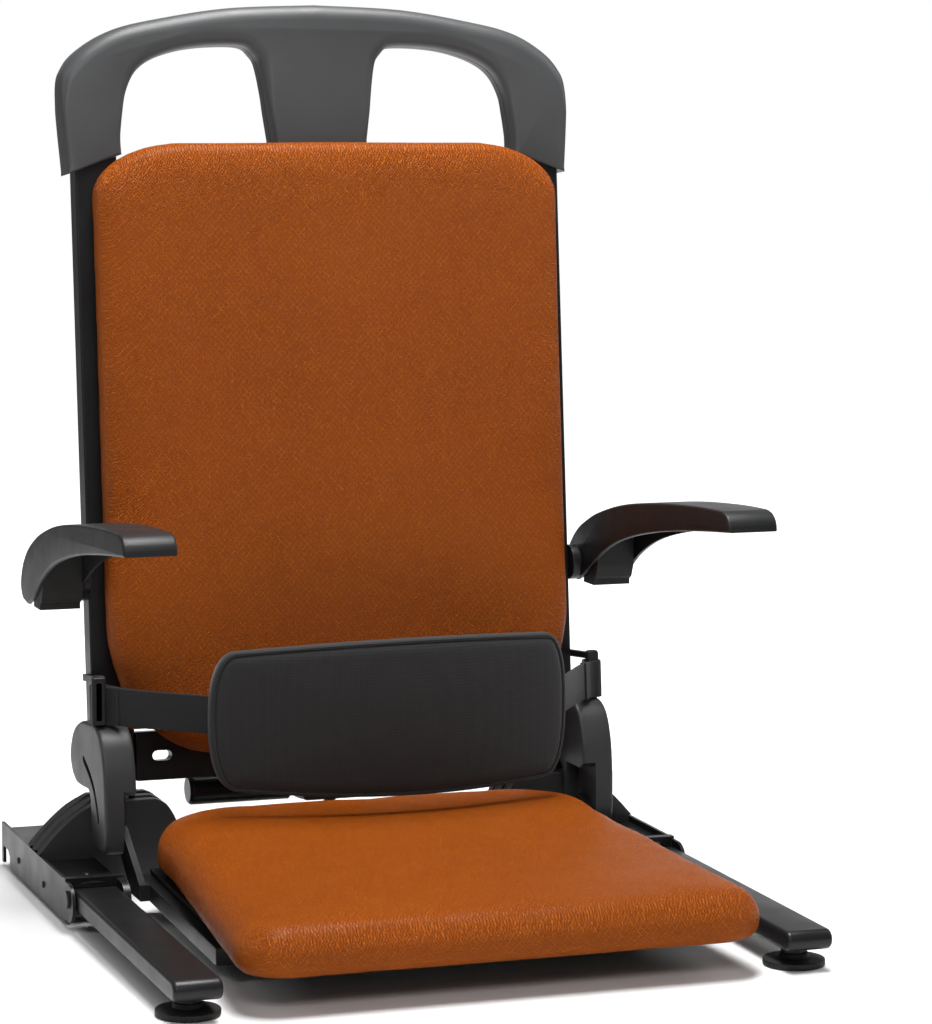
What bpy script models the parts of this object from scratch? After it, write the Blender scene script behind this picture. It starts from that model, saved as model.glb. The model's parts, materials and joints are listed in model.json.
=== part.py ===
"""A folding floor chair whose backrest and seat rise together along two telescoping masts.

Metres, +Z up. The chair faces -Y, and X runs across it. Shapes are built in the assembly's own
coordinates, whose Y starts under the front feet, or in the carriage's, which lean back with the masts.
"""

from math import cos, pi, radians, sin

import bmesh
import bpy
from mathutils import Vector

SIDES = {"left": -1, "right": 1}
GAP = 0.0003
FRONT_FOOT_Y = -0.26125  # the front feet, from the middle of the footprint
RECLINE = radians(5.9)
CARRIAGE_Y = 0.4148  # where the front faces of the uprights meet the floor

# Base
LEG_X = (0.2352, 0.2752)
LEG_Z = (0.0174, 0.0343)
LEG_FRONT_Y = -0.0330
LEG_PIVOT = (0.3000, 0.0258)
RAIL_X = (0.2280, 0.2790)
RAIL_INNER_WALL = 0.0060
RAIL_OUTER_WALL = 0.0027
RAIL_Y = (0.3125, 0.5650)
RAIL_Z = (0.0034, 0.0400)
DECK_Z = (0.0305, 0.0340)
BOSS_RADIUS = 0.0165
FOOT_X = 0.2552
FOOT_RADIUS = 0.0257
STEM_RADIUS = 0.0048
TAIL_X = (0.2430, 0.2670)
TAIL_Z = (0.0105, 0.0275)
TAIL_Y = (0.4000, 0.5320)
WHEEL_Y = 0.5505
WHEEL_RADIUS = 0.0143
TOWER_Y = (0.4120, 0.4600)
TOWER_TOP = 0.0840
TOWER_INNER_X = 0.1500
CROSS_TUBE_Y = (0.4180, 0.4460)
CROSS_TUBE_Z = (0.0140, 0.0400)

# Carriage, in its leaning coordinates
UPRIGHT_X = (0.1880, 0.2257)
UPRIGHT_DEPTH = 0.0220
UPRIGHT_Z = (0.1120, 0.6600)
MAST_X = (0.1940, 0.2200)
MAST_Y = (0.0040, 0.0180)
MAST_Z = (0.0700, 0.6000)
CUSHION_HALF = 0.2195
CUSHION_Y = (-0.0360, -0.0048)
CUSHION_Z = (0.1166, 0.6645)
CROSSBAR_DEPTH = 0.0142
HANDLE_Y = (-0.0040, 0.0300)
SCREW_Y = 0.0340
SCREW_RADIUS = 0.0060
ARM_PIVOT = (0.0030, 0.2760)
ARM_X = (0.2352, 0.2794)

# Seat, in the assembly's coordinates
SEAT_PIVOT = (0.3750, 0.0620)
SEAT_FRONT_Y = -0.0425
SEAT_REAR_Y = 0.3720
SEAT_HALF_FRONT = 0.2250
SEAT_HALF_REAR = 0.2035
HINGE_COVER_X = (0.2060, 0.2350)
LUG_X = (0.2105, 0.2160)

# Belt
PAD_HALF = 0.1620
PAD_X = 0.0080  # the pad hangs a little off the middle
PAD_END = 0.0230  # how far the curve of its ends reaches inwards
PAD_THICK = 0.0120
STRAP_Z = (0.1585, 0.1915)
STRAP_END = (0.2220, 0.3830)

# Handset
HANDSET_X = -0.1150
HANDSET_HALF = 0.0240

PAINTS = {  # colour, roughness, metallic
    "leather": ((0.42, 0.13, 0.025), 0.45, 0.0),
    "frame_paint": ((0.020, 0.020, 0.022), 0.38, 0.3),
    "moulded_plastic": ((0.035, 0.036, 0.038), 0.50, 0.0),
    "rubber": ((0.012, 0.012, 0.012), 0.75, 0.0),
    "belt_fabric": ((0.028, 0.028, 0.030), 0.85, 0.0),
    "zinc": ((0.55, 0.55, 0.56), 0.30, 1.0),
    "handset_plastic": ((0.75, 0.74, 0.71), 0.40, 0.0),
    "button_rubber": ((0.10, 0.16, 0.20), 0.60, 0.0),
}


def clear_scene():
    for old in list(bpy.data.objects):
        bpy.data.objects.remove(old)


def make_materials():
    made = {}
    for name, (colour, roughness, metallic) in PAINTS.items():
        made[name] = bpy.data.materials.new(name)
        made[name].use_nodes = True
        shader = made[name].node_tree.nodes["Principled BSDF"]
        shader.inputs["Base Color"].default_value = (*colour, 1.0)
        shader.inputs["Roughness"].default_value = roughness
        shader.inputs["Metallic"].default_value = metallic
    return made


# Outlines


def ellipse_arc(centre, radii, start, end, steps):
    """Points of an elliptical arc between two angles in degrees, both ends included."""
    angles = [radians(start + (end - start) * i / steps) for i in range(steps + 1)]
    return [(centre[0] + radii[0] * cos(a), centre[1] + radii[1] * sin(a)) for a in angles]


def smooth_path(points, steps=4):
    """A Catmull-Rom curve through the points, which it passes in order."""
    ends = [points[0], *points, points[-1]]
    path = []
    for i in range(len(points) - 1):
        a, b, c, d = (Vector(p) for p in ends[i : i + 4])
        for t in (step / steps for step in range(steps)):
            path.append(tuple(0.5 * (2 * b + (c - a) * t + (2 * a - 5 * b + 4 * c - d) * t * t
                                     + (3 * b - a - 3 * c + d) * t**3)))
    return [*path, tuple(points[-1])]


def mirrored(half):
    """A half outline, from its lowest point up its +X side, closed by its mirror image."""
    return [*half, *[(-x, v) for x, v in reversed(half) if abs(x) > 1e-6]]


def rectangle(a_range, b_range):
    (a0, a1), (b0, b1) = a_range, b_range
    return [(a0, b0), (a1, b0), (a1, b1), (a0, b1)]


def span(side, x_range):
    """The X range on one side of the chair, lowest first."""
    return sorted(side * x for x in x_range)


# Solids


def finish(name, mesh_builder, paint, smooth=False):
    bmesh.ops.recalc_face_normals(mesh_builder, faces=mesh_builder.faces)
    mesh = bpy.data.meshes.new(name)
    mesh_builder.to_mesh(mesh)
    mesh_builder.free()
    if smooth:
        mesh.shade_smooth()
        mesh.set_sharp_from_angle(angle=radians(35))
    mesh.materials.append(MATERIALS[paint])
    made = bpy.data.objects.new(name, mesh)
    bpy.context.scene.collection.objects.link(made)
    return made


def loft(name, sections, paint, smooth=False):
    """A closed solid through sections of equal point counts, capped at both ends."""
    mesh = bmesh.new()
    rings = [[mesh.verts.new(point) for point in section] for section in sections]
    for low, high in zip(rings, rings[1:]):
        for i in range(len(low)):
            j = (i + 1) % len(low)
            mesh.faces.new((low[i], low[j], high[j], high[i]))
    mesh.faces.new(reversed(rings[0]))
    mesh.faces.new(rings[-1])
    return finish(name, mesh, paint, smooth)


def prism(name, outline, axis, between, paint, smooth=False):
    """An outline drawn across an axis, in the other two axes' order, run along it."""
    place = {
        "X": lambda a, b, w: (w, a, b),
        "Y": lambda a, b, w: (a, w, b),
        "Z": lambda a, b, w: (a, b, w),
    }[axis]
    sections = [[place(a, b, w) for a, b in outline] for w in between]
    return loft(name, sections, paint, smooth)


def box(name, x, y, z, paint):
    return prism(name, rectangle(x, y), "Z", z, paint)


def turned(name, profile, axis, centre, paint, segments=24):
    """A closed profile of (radius, height) points turned about an axis through centre."""
    place = {
        "X": lambda r, h, a: (h, r * cos(a), r * sin(a)),
        "Y": lambda r, h, a: (r * sin(a), h, r * cos(a)),
        "Z": lambda r, h, a: (r * cos(a), r * sin(a), h),
    }[axis]
    mesh = bmesh.new()
    rings = []
    for radius, height in profile:
        count = 1 if radius < 1e-7 else segments
        spots = [Vector(place(radius, height, 2 * pi * i / segments)) for i in range(count)]
        rings.append([mesh.verts.new(spot + Vector(centre)) for spot in spots])
    for low, high in zip(rings, [*rings[1:], rings[0]]):
        for i in range(segments if len(low) + len(high) > 2 else 0):
            j = (i + 1) % segments
            corners = [low[i % len(low)], low[j % len(low)], high[j % len(high)], high[i % len(high)]]
            mesh.faces.new(list(dict.fromkeys(corners)))
    return finish(name, mesh, paint, smooth=True)


def cylinder(name, axis, centre, radius, between, paint, segments=24):
    profile = [(0, between[0]), (radius, between[0]), (radius, between[1]), (0, between[1])]
    return turned(name, profile, axis, centre, paint, segments)


def soften(part, width, segments=2):
    bevel = part.modifiers.new("soft_edges", "BEVEL")
    bevel.width = width
    bevel.segments = segments
    bevel.limit_method = "ANGLE"
    bevel.angle_limit = radians(40)
    return part


def combine(part, other, operation):
    modifier = part.modifiers.new(other.name, "BOOLEAN")
    modifier.operation = operation
    modifier.object = other
    other.parent = part
    other.hide_render = True
    other.display_type = "WIRE"
    return part


def cut(part, *cutters):
    for cutter in cutters:
        combine(part, cutter, "DIFFERENCE")
    return part


def join(part, *others):
    for other in others:
        combine(part, other, "UNION")
    return part


def make_frame(name, location, parent=None, lean=0.0):
    frame = bpy.data.objects.new(name, None)
    frame.location = location
    frame.rotation_euler = (lean, 0, 0)
    frame.parent = parent
    bpy.context.scene.collection.objects.link(frame)
    return frame


def mount(frame, *parts):
    for part in parts:
        part.parent = frame


def hang(frame, joint_name, pivot, *parts):
    """Parts drawn in the frame's coordinates, on an empty at their joint's axis."""
    empty = make_frame(joint_name, pivot, frame)
    for part in parts:
        part.parent = empty
        part.location = -Vector(pivot)
    return empty


# Base


def base_rail(name, side):
    """A channel open below and behind, with a raised hood and two round pivot cheeks at its front."""
    x_in, x_out = RAIL_X
    inner, outer = x_in + RAIL_INNER_WALL, x_out - RAIL_OUTER_WALL
    bottom, rim = RAIL_Z
    channel = [
        (x_in, bottom), (inner, bottom), (inner, DECK_Z[0]), (outer, DECK_Z[0]), (outer, bottom),
        (x_out, bottom), (x_out, rim), (outer, rim), (outer, DECK_Z[1]), (x_in, DECK_Z[1]),
    ]
    rail = prism(name, [(side * x, z) for x, z in channel], "Y", RAIL_Y, "frame_paint")
    hood_top = rim + 0.0012
    hood_y = (RAIL_Y[0] - 0.0008, RAIL_Y[0] + 0.0070)
    arch_middle = (inner + outer) / 2
    arch_radii = ((outer - inner) / 2, hood_top - 0.0035 - LEG_PIVOT[1])
    arch = ellipse_arc((arch_middle, LEG_PIVOT[1]), arch_radii, 180, 0, 8)
    hood = [(x_in, bottom), *[(x, z) for x, z in [(inner, bottom), *arch, (outer, bottom)]],
            (x_out, bottom), (x_out, hood_top), (x_in, hood_top)]
    join(rail, prism(name + "_hood", [(side * x, z) for x, z in hood], "Y", hood_y, "frame_paint"))
    y, z = LEG_PIVOT
    cheek = [*ellipse_arc((y, z - 0.0035), (BOSS_RADIUS, BOSS_RADIUS), 270, 90, 12),
             (RAIL_Y[0] + 0.004, rim - 0.001), (RAIL_Y[0] + 0.004, bottom + 0.0023)]
    for wall, x_range in (("inner", (x_in, inner)), ("outer", (outer, x_out))):
        plate = prism(name + "_cheek_" + wall, cheek, "X", span(side, x_range), "frame_paint")
        join(rail, plate)
    pin_hole = cylinder(name + "_pin_hole", "X", (0, y, z), 0.0043, span(side, (0.21, 0.30)), "zinc", 16)
    notch = prism(name + "_notch", [(0.532, -0.01), (0.532, 0.014), (0.540, 0.019), (0.559, 0.019),
                                    (0.559, -0.01)], "X", span(side, (inner, 0.30)), "frame_paint")
    return cut(rail, pin_hole, notch)


def tower(name, side):
    """A ribbed half-round arch across the rail's deck, with a pocket for its mast."""
    def outline(inset):
        rise = smooth_path([(0.2785 - inset, 0.0410), (0.2620 - inset, 0.0590 - inset),
                            (0.2440, 0.0745 - inset), (0.2260, TOWER_TOP - inset)], 3)
        fall = smooth_path([(0.1740, TOWER_TOP - inset), (0.1640, 0.0790 - inset),
                            (0.1550, 0.0640 - inset), (TOWER_INNER_X, 0.0440)], 3)
        foot = [(TOWER_INNER_X, 0.0120), (RAIL_X[0] - GAP, 0.0120), (RAIL_X[0] - GAP, DECK_Z[1] + GAP),
                (0.2760, DECK_Z[1] + GAP), (0.2760, 0.0410)]
        return [*rise, *fall, *foot]
    rib = (TOWER_Y[1] - TOWER_Y[0]) / 5
    sections = []
    for i in range(5):
        inset = 0.0022 * (i % 2)
        for y in (TOWER_Y[0] + i * rib + 0.0004, TOWER_Y[0] + (i + 1) * rib - 0.0004):
            sections.append([(side * x, y, z) for x, z in outline(inset)])
    return loft(name, sections, "moulded_plastic")


def mast_outline(side, grow=0.0):
    x0, x1 = span(side, MAST_X)
    return rectangle((x0 - grow, x1 + grow), (MAST_Y[0] - grow, MAST_Y[1] + grow))


def boot(name, side):
    """A bellows of seven folds from the tower up to the upright, around the foot of the mast."""
    x0, x1 = span(side, (0.1884, 0.2245))
    low, high, folds = 0.0862, 0.1112, 14
    sections = []
    for i in range(folds + 1):
        fold = 0.0018 * (i % 2)
        y0, y1 = 0.0006 + fold, 0.0254 - fold
        sections.append([(x, y, low + (high - low) * i / folds) for x, y in (
            (x0 + fold, y0), (x1 - fold, y0), (x1 - fold, y1), (x0 + fold, y1))])
    return cut(loft(name, sections, "rubber"),
               prism(name + "_bore", mast_outline(side, GAP), "Z", (0.08, 0.12), "rubber"))


def foot(name, x, y):
    """A screw-in levelling foot: a stepped pad, a lock nut and the stem."""
    profile = [
        (0, 0), (FOOT_RADIUS - 0.0015, 0), (FOOT_RADIUS, 0.0020), (FOOT_RADIUS, 0.0045),
        (FOOT_RADIUS - 0.0050, 0.0062), (0.0120, 0.0072), (0.0095, 0.0110), (0.0095, 0.0140),
        (STEM_RADIUS, 0.0140), (STEM_RADIUS, 0.0305), (0, 0.0305),
    ]
    return turned(name, profile, "Z", (x, y, 0), "rubber")


def leg(name, side):
    """A flat bar that swings up about the pin at its rear end, drilled for its foot and its pin."""
    y, z = LEG_PIVOT
    half = (LEG_Z[1] - LEG_Z[0]) / 2
    rear = ellipse_arc((y, z), (half, half), -90, 90, 8)
    outline = [(LEG_FRONT_Y, LEG_Z[0]), *rear, (LEG_FRONT_Y, LEG_Z[1])]
    bar = soften(prism(name, outline, "X", span(side, LEG_X), "frame_paint"), 0.0015)
    stem_hole = cylinder(name + "_stem_hole", "Z", (side * FOOT_X, 0, 0), 0.0053, (0.0, 0.0312), "zinc", 16)
    pin_hole = cylinder(name + "_pin_hole", "X", (0, y, z), 0.0045, span(side, (0.21, 0.30)), "zinc", 16)
    return cut(bar, stem_hole, pin_hole)


def leg_pin(name, side):
    y, z = LEG_PIVOT
    profile = [(0, 0.2272), (0.0040, 0.2272), (0.0040, 0.2794), (0.0080, 0.2794), (0.0070, 0.2815), (0, 0.2815)]
    return turned(name, [(r, side * x) for r, x in profile], "X", (0, y, z), "zinc", 16)


def tail(name, side):
    """A bar that draws out of the rail's open rear end, forked around its wheel."""
    bar = soften(box(name, span(side, TAIL_X), (TAIL_Y[0], WHEEL_Y + 0.006), TAIL_Z, "frame_paint"), 0.0010)
    middle = sum(TAIL_X) / 2
    fork = box(name + "_fork", span(side, (middle - 0.0078, middle + 0.0078)),
               (WHEEL_Y - WHEEL_RADIUS - 0.0015, 0.60), (0.0, 0.04), "frame_paint")
    axle_hole = cylinder(name + "_axle_hole", "X", (0, WHEEL_Y, WHEEL_RADIUS + 0.001), 0.0028,
                         span(side, (0.21, 0.30)), "zinc", 12)
    return cut(bar, fork, axle_hole)


def wheel(name, side):
    middle, half = side * sum(TAIL_X) / 2, 0.0070
    profile = [(0, -0.0115), (0.0023, -0.0115), (0.0023, -half), (WHEEL_RADIUS - 0.002, -half),
               (WHEEL_RADIUS, -half + 0.002), (WHEEL_RADIUS, half - 0.002), (WHEEL_RADIUS - 0.002, half),
               (0.0023, half), (0.0023, 0.0115), (0, 0.0115)]
    return turned(name, profile, "X", (middle, WHEEL_Y, WHEEL_RADIUS + 0.001), "rubber", 20)


def build_base(assembly, carriage_at_rest):
    """Everything that stays on the floor. The masts lean as the carriage does."""
    for side_name, side in SIDES.items():
        mast_pocket = prism("pocket_" + side_name, mast_outline(side, GAP), "Z", (0.06, 0.12), "frame_paint")
        arch = tower("tower_" + side_name, side)
        cut(arch, mast_pocket)
        mast_pocket.location = (0, CARRIAGE_Y, 0)
        mast_pocket.rotation_euler = (-RECLINE, 0, 0)
        rear_pad = box("rear_foot_" + side_name, span(side, (0.2350, 0.2760)), (0.455, 0.490),
                       (0.0, 0.0085), "rubber")
        mount(assembly, base_rail("base_rail_" + side_name, side), arch,
              leg_pin("leg_pin_" + side_name, side), rear_pad)
        mast = soften(prism("mast_" + side_name, mast_outline(side), "Z", MAST_Z, "zinc"), 0.0015)
        mount(carriage_at_rest, mast, boot("mast_boot_" + side_name, side))
        bar = leg("leg_" + side_name, side)
        hang(assembly, "leg_fold_" + side_name, (side * FOOT_X, *LEG_PIVOT), bar)
        hang(assembly, "foot_level_" + side_name, (side * FOOT_X, 0, 0),
             foot("foot_" + side_name, side * FOOT_X, 0))
        hang(assembly, "tail_slide_" + side_name, (side * sum(TAIL_X) / 2, TAIL_Y[0], TAIL_Z[0]),
             tail("tail_" + side_name, side))
        hang(assembly, "wheel_spin_" + side_name, (side * sum(TAIL_X) / 2, WHEEL_Y, WHEEL_RADIUS + 0.001),
             wheel("wheel_" + side_name, side))
    inner = TOWER_INNER_X - GAP
    cross_tube = soften(box("rear_cross_tube", (-inner, inner), CROSS_TUBE_Y, CROSS_TUBE_Z, "frame_paint"),
                        0.0025)
    bracket = prism("screw_foot_bracket", [(CROSS_TUBE_Y[1] - 0.0040, 0.0160), (0.4560, 0.0160),
                                           (0.4700, 0.0380), (0.4700, 0.0450), (CROSS_TUBE_Y[1] - 0.0040, 0.0450)],
                    "X", (-0.018, 0.018), "frame_paint")
    mount(assembly, join(cross_tube, bracket))
    screw = cylinder("lead_screw", "Z", (0, SCREW_Y, 0), SCREW_RADIUS, (0.0500, 0.5200), "zinc", 16)
    mount(carriage_at_rest, screw)


# Carriage


def upright(name, side):
    x0, x1 = span(side, UPRIGHT_X)
    tube = soften(box(name, (x0, x1), (0.0, UPRIGHT_DEPTH), UPRIGHT_Z, "frame_paint"), 0.0015)
    bore = prism(name + "_bore", mast_outline(side, 0.0005), "Z", (0.0, 0.8), "frame_paint")
    return cut(tube, bore)


def handle():
    """A moulded arch on the uprights, with a wide centre post between two hand openings."""
    outer = smooth_path([(0.2320, 0.6340), (0.2363, 0.7050), (0.2300, 0.7300), (0.2125, 0.7475),
                         (0.1850, 0.7620), (0.1450, 0.7715), (0.0800, 0.7815), (0.0, 0.7850)], 3)
    opening = smooth_path([(0.0430, 0.6640), (0.0520, 0.7230), (0.0590, 0.7400), (0.0740, 0.7480),
                           (0.1220, 0.7450), (0.1600, 0.7310), (0.1770, 0.7080), (0.1838, 0.6720),
                           (0.1838, 0.6510)], 3)
    half = [*outer[:-1], (0.0, 0.7850)]
    right = [(0.0400, 0.5706), *opening, *half[:-1]]
    left = [(-x, z) for x, z in right]
    arch = prism("handle", [*right, half[-1], *reversed(left)], "Y", HANDLE_Y, "moulded_plastic")
    soften(arch, 0.0045, 2)
    clear_board = box("handle_board_recess", (-0.07, 0.07), (-0.01, GAP), (0.55, 0.6365), "moulded_plastic")
    cut(arch, clear_board)
    for side_name, side in SIDES.items():
        x0, x1 = span(side, UPRIGHT_X)
        cut(arch, box("handle_socket_" + side_name, (x0 - GAP, x1 + GAP), (-GAP, UPRIGHT_DEPTH + GAP),
                      (0.62, UPRIGHT_Z[1] + GAP), "moulded_plastic"))
    return arch


def backrest_outline():
    low, high = CUSHION_Z
    bottom = ellipse_arc((CUSHION_HALF - 0.100, low + 0.125), (0.100, 0.125), -90, 0, 7)
    top = ellipse_arc((CUSHION_HALF - 0.085, high - 0.050), (0.085, 0.050), 0, 90, 6)
    return mirrored([(0.0, low - 0.002), *bottom, *top, (0.0, high + 0.001)])


def crossbar(name, z_range, slotted):
    half = UPRIGHT_X[0] - GAP
    bar = soften(box(name, (-half, half), (GAP, CROSSBAR_DEPTH), z_range, "frame_paint"), 0.0015)
    middle = sum(z_range) / 2
    for side_name, side in (SIDES.items() if slotted else ()):
        ends = [*ellipse_arc((0.1590, middle), (0.0045, 0.0045), 90, 270, 6),
                *ellipse_arc((0.1680, middle), (0.0045, 0.0045), -90, 90, 6)]
        cut(bar, prism(name + "_slot_" + side_name, [(side * x, z) for x, z in ends], "Y", (-0.01, 0.03),
                       "frame_paint"))
    return bar


def hinge_cover(name, side):
    """A hooked cover: a stem with the seat's hinge in its front, and a round lobe beside the upright."""
    front = smooth_path([(0.3485, 0.0485), (0.3487, 0.0750), (0.3498, 0.1000), (0.3545, 0.1260),
                         (0.3660, 0.1480), (0.3850, 0.1570), (0.4120, 0.1560), (0.4400, 0.1520),
                         (0.4660, 0.1400), (0.4795, 0.1200), (0.4740, 0.1030), (0.4580, 0.0945),
                         (0.4380, 0.0945), (0.4120, 0.0960)], 3)
    stem = smooth_path([(0.4040, 0.0900), (0.4020, 0.0700), (0.4005, 0.0485)], 3)
    cover = prism(name, [*front, *stem], "X", span(side, HINGE_COVER_X), "moulded_plastic", smooth=True)
    soften(cover, 0.0020, 2)
    notch_outline = [(0.33, 0.04), (0.3925, 0.04), (0.3925, 0.0990), (0.3600, 0.0990), (0.3480, 0.1060),
                     (0.33, 0.1060)]
    notch = prism(name + "_notch", notch_outline, "X", span(side, (0.20, 0.2180)), "moulded_plastic")
    crease = smooth_path([(0.4270, 0.1210), (0.4060, 0.1120), (0.3890, 0.1010), (0.3780, 0.0860),
                          (0.3735, 0.0780)], 3)
    below = [(y + 0.0016, z - 0.0014) for y, z in reversed(crease)]
    slit = prism(name + "_slit", [*crease, *below], "X", span(side, (0.2183, 0.25)), "moulded_plastic")
    return cut(cover, notch, slit)


def hinge_cover_relief(name, side):
    """The room behind the cover's stem for the upright, in the carriage's coordinates."""
    return box(name, span(side, (0.19, UPRIGHT_X[1] + GAP)), (-0.0006, 0.10), (0.08, 0.20), "moulded_plastic")


def arm_pivot(name, side):
    """The boss on the upright and the pin that the armrest turns on."""
    profile = [(0, 0.2260), (0.0160, 0.2260), (0.0160, 0.2338), (0.0145, 0.2346), (0.0050, 0.2346),
               (0.0050, 0.2680), (0, 0.2680)]
    return turned(name, [(r, side * x) for r, x in profile], "X", (0, *ARM_PIVOT), "frame_paint", 20)


def belt_post(name, side):
    """An arm from the upright to the round-edged post that the strap loops round."""
    arm = box(name, span(side, (UPRIGHT_X[1] + GAP, 0.2300)), (-0.0440, 0.0140), (0.1890, 0.1950),
              "moulded_plastic")
    post = soften(box(name + "_post", span(side, (0.2235, 0.2350)), (-0.0480, -0.0380), (0.1565, 0.1970),
                      "moulded_plastic"), 0.0030)
    return join(arm, post)


def belt_pad():
    """A bowed pad, highest in its middle, with curved ends that lie nearer the backrest."""
    straight = 1 - PAD_END / PAD_HALF
    steps = [straight * i / 4 for i in range(5)]
    steps += [straight + (1 - straight) * share for share in (0.3, 0.5, 0.68, 0.82, 0.92, 1.0)]
    sections = []
    for u in [*[-step for step in reversed(steps[1:])], *steps]:
        end = max(0.0, abs(u) - straight) / (1 - straight)
        half = (0.0700 - 0.0080 * u * u - 0.004 * (1 - u) / 2) * max(0.30, (1 - end**2.5) ** 0.4)
        y = 0.2700 + 0.0300 * u * u
        middle = 0.1705
        sections.append([(PAD_X + PAD_HALF * u, a, b) for a, b in rectangle((y, y + PAD_THICK),
                                                                          (middle - half, middle + half))])
    return soften(loft("belt_pad", sections, "belt_fabric"), 0.0012, 1)


def belt_strap(name, side):
    """Webbing from the pad's end to the inner face of its post."""
    start, end = Vector((PAD_HALF + 0.0012 + side * PAD_X, 0.3080)), Vector(STRAP_END)
    across = Vector((end.y - start.y, start.x - end.x)).normalized() * 0.0010
    corners = [start - across, end - across, end + across, start + across]
    return prism(name, [(side * p.x, p.y) for p in corners], "Z", STRAP_Z, "belt_fabric")


def belt_slider():
    """A narrow buckle in front of the left post, with a slot for the webbing's free end."""
    plate = box("belt_slider", (-0.0062, 0.0062), (-0.0020, 0.0020), (-0.0212, 0.0212), "moulded_plastic")
    soften(plate, 0.0014)
    cut(plate, box("slider_slot", (-0.0018, 0.0018), (-0.01, 0.01), (-0.0160, 0.0160), "moulded_plastic"))
    plate.location = (-0.2326, 0.3788, 0.1795)
    return plate


def build_handset(carriage):
    """A white hand control standing in a holder on the back board, with two buttons on its rear face."""
    x0, x1 = HANDSET_X - HANDSET_HALF, HANDSET_X + HANDSET_HALF
    wall = 0.0030
    holder = soften(box("handset_holder", (x0 - wall, x1 + wall), (GAP, 0.0310), (0.2700, 0.3300),
                        "moulded_plastic"), 0.0015)
    cut(holder, box("holder_pocket", (x0 - GAP, x1 + GAP), (wall, 0.0283), (0.2735, 0.40), "moulded_plastic"))
    mount(carriage, holder)
    body = box("handset", (x0, x1), (wall + GAP, 0.0280), (0.2740, 0.4040), "handset_plastic")
    soften(body, 0.0050, 3)
    empty = hang(carriage, "handset_lift", (HANDSET_X, 0.0155, 0.2740), body)
    for label, z in (("up", 0.3780), ("down", 0.3530)):
        cut(body, cylinder("well_" + label, "Y", (HANDSET_X, 0, z), 0.0088, (0.0230, 0.04), "rubber", 20))
        button = cylinder("button_" + label, "Y", (HANDSET_X, 0, z), 0.0084, (0.0255, 0.0295),
                          "button_rubber", 20)
        press = hang(carriage, "press_" + label, (HANDSET_X, 0.0255, z), button)
        press.parent = empty
        press.location = Vector(press.location) - empty.location


def build_drive(carriage):
    """The gearbox with its motor under the lower crossbar, and the screw's guard tube above it."""
    gearbox = soften(box("gearbox", (-0.030, 0.030), (CROSSBAR_DEPTH + 0.001, 0.052), (0.0700, 0.1500),
                         "moulded_plastic"), 0.0040, 2)
    cut(gearbox, cylinder("gearbox_bore", "Z", (0, SCREW_Y, 0), SCREW_RADIUS + 0.0005, (0.0, 0.2), "zinc", 16))
    motor = [(0, -0.1350), (0.0115, -0.1350), (0.0135, -0.1320), (0.0135, -0.0420), (0.0100, -0.0400),
             (0.0100, -0.0305), (0, -0.0305)]
    guard = [(0.0085, 0.1505), (0.0125, 0.1505), (0.0125, 0.5600), (0.0105, 0.5640), (0, 0.5640),
             (0, 0.5600), (0.0085, 0.5600)]
    control_box = soften(box("control_box", (0.0450, 0.1450), (GAP, 0.0300), (0.2000, 0.3000),
                             "moulded_plastic"), 0.0030)
    inlet_room = box("inlet_room", (0.0597, 0.0853), (0.0057, 0.0243), (0.19, 0.2123), "moulded_plastic")
    switch_room = box("switch_room", (0.1047, 0.1253), (0.0077, 0.0223), (0.19, 0.2123), "moulded_plastic")
    cut(control_box, inlet_room, switch_room)
    inlet = box("power_inlet", (0.0600, 0.0850), (0.0060, 0.0240), (0.1975, 0.2120), "moulded_plastic")
    cut(inlet, box("inlet_socket", (0.0640, 0.0810), (0.0090, 0.0210), (0.19, 0.2080), "moulded_plastic"))
    switch = prism("power_switch", [(0.1062, 0.2090), (0.1062, 0.1985), (0.1150, 0.1995), (0.1238, 0.1970),
                                    (0.1238, 0.2090)], "Y", (0.0080, 0.0220), "button_rubber")
    mount(carriage, gearbox, turned("motor", motor, "X", (0, 0.0265, 0.0855), "frame_paint", 24),
          turned("screw_guard_tube", guard, "Z", (0, SCREW_Y, 0), "frame_paint", 20), control_box, inlet)
    hang(carriage, "switch_rock", (0.1150, 0.0150, 0.2050), switch)


def build_carriage(assembly, carriage):
    board_half = UPRIGHT_X[0] + 0.012
    board = prism("back_board", rectangle((-board_half, board_half), (0.1450, 0.6280)), "Y",
                  (-0.0045, -GAP), "frame_paint")
    cushion = soften(prism("backrest_cushion", backrest_outline(), "Y", CUSHION_Y, "leather", smooth=True),
                     0.0100, 2)
    mount(carriage, board, cushion, handle(), crossbar("lower_crossbar", (0.0985, 0.1420), True),
          crossbar("upper_crossbar", (0.5300, 0.5700), False))
    for side_name, side in SIDES.items():
        mount(carriage, upright("upright_" + side_name, side), arm_pivot("arm_pivot_" + side_name, side),
              belt_post("belt_post_" + side_name, side))
        cover = hinge_cover("hinge_cover_" + side_name, side)
        relief = hinge_cover_relief("cover_relief_" + side_name, side)
        cut(cover, relief)
        relief.location = (0, CARRIAGE_Y, 0)
        relief.rotation_euler = (-RECLINE, 0, 0)
        pin = cylinder("seat_pin_" + side_name, "X", (0, *SEAT_PIVOT), 0.0040, span(side, (0.2085, 0.2177)),
                       "zinc", 16)
        mount(assembly, cover, pin, belt_strap("belt_strap_" + side_name, side))
    mount(assembly, belt_pad(), belt_slider())
    build_drive(carriage)
    build_handset(carriage)


# Armrests


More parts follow.
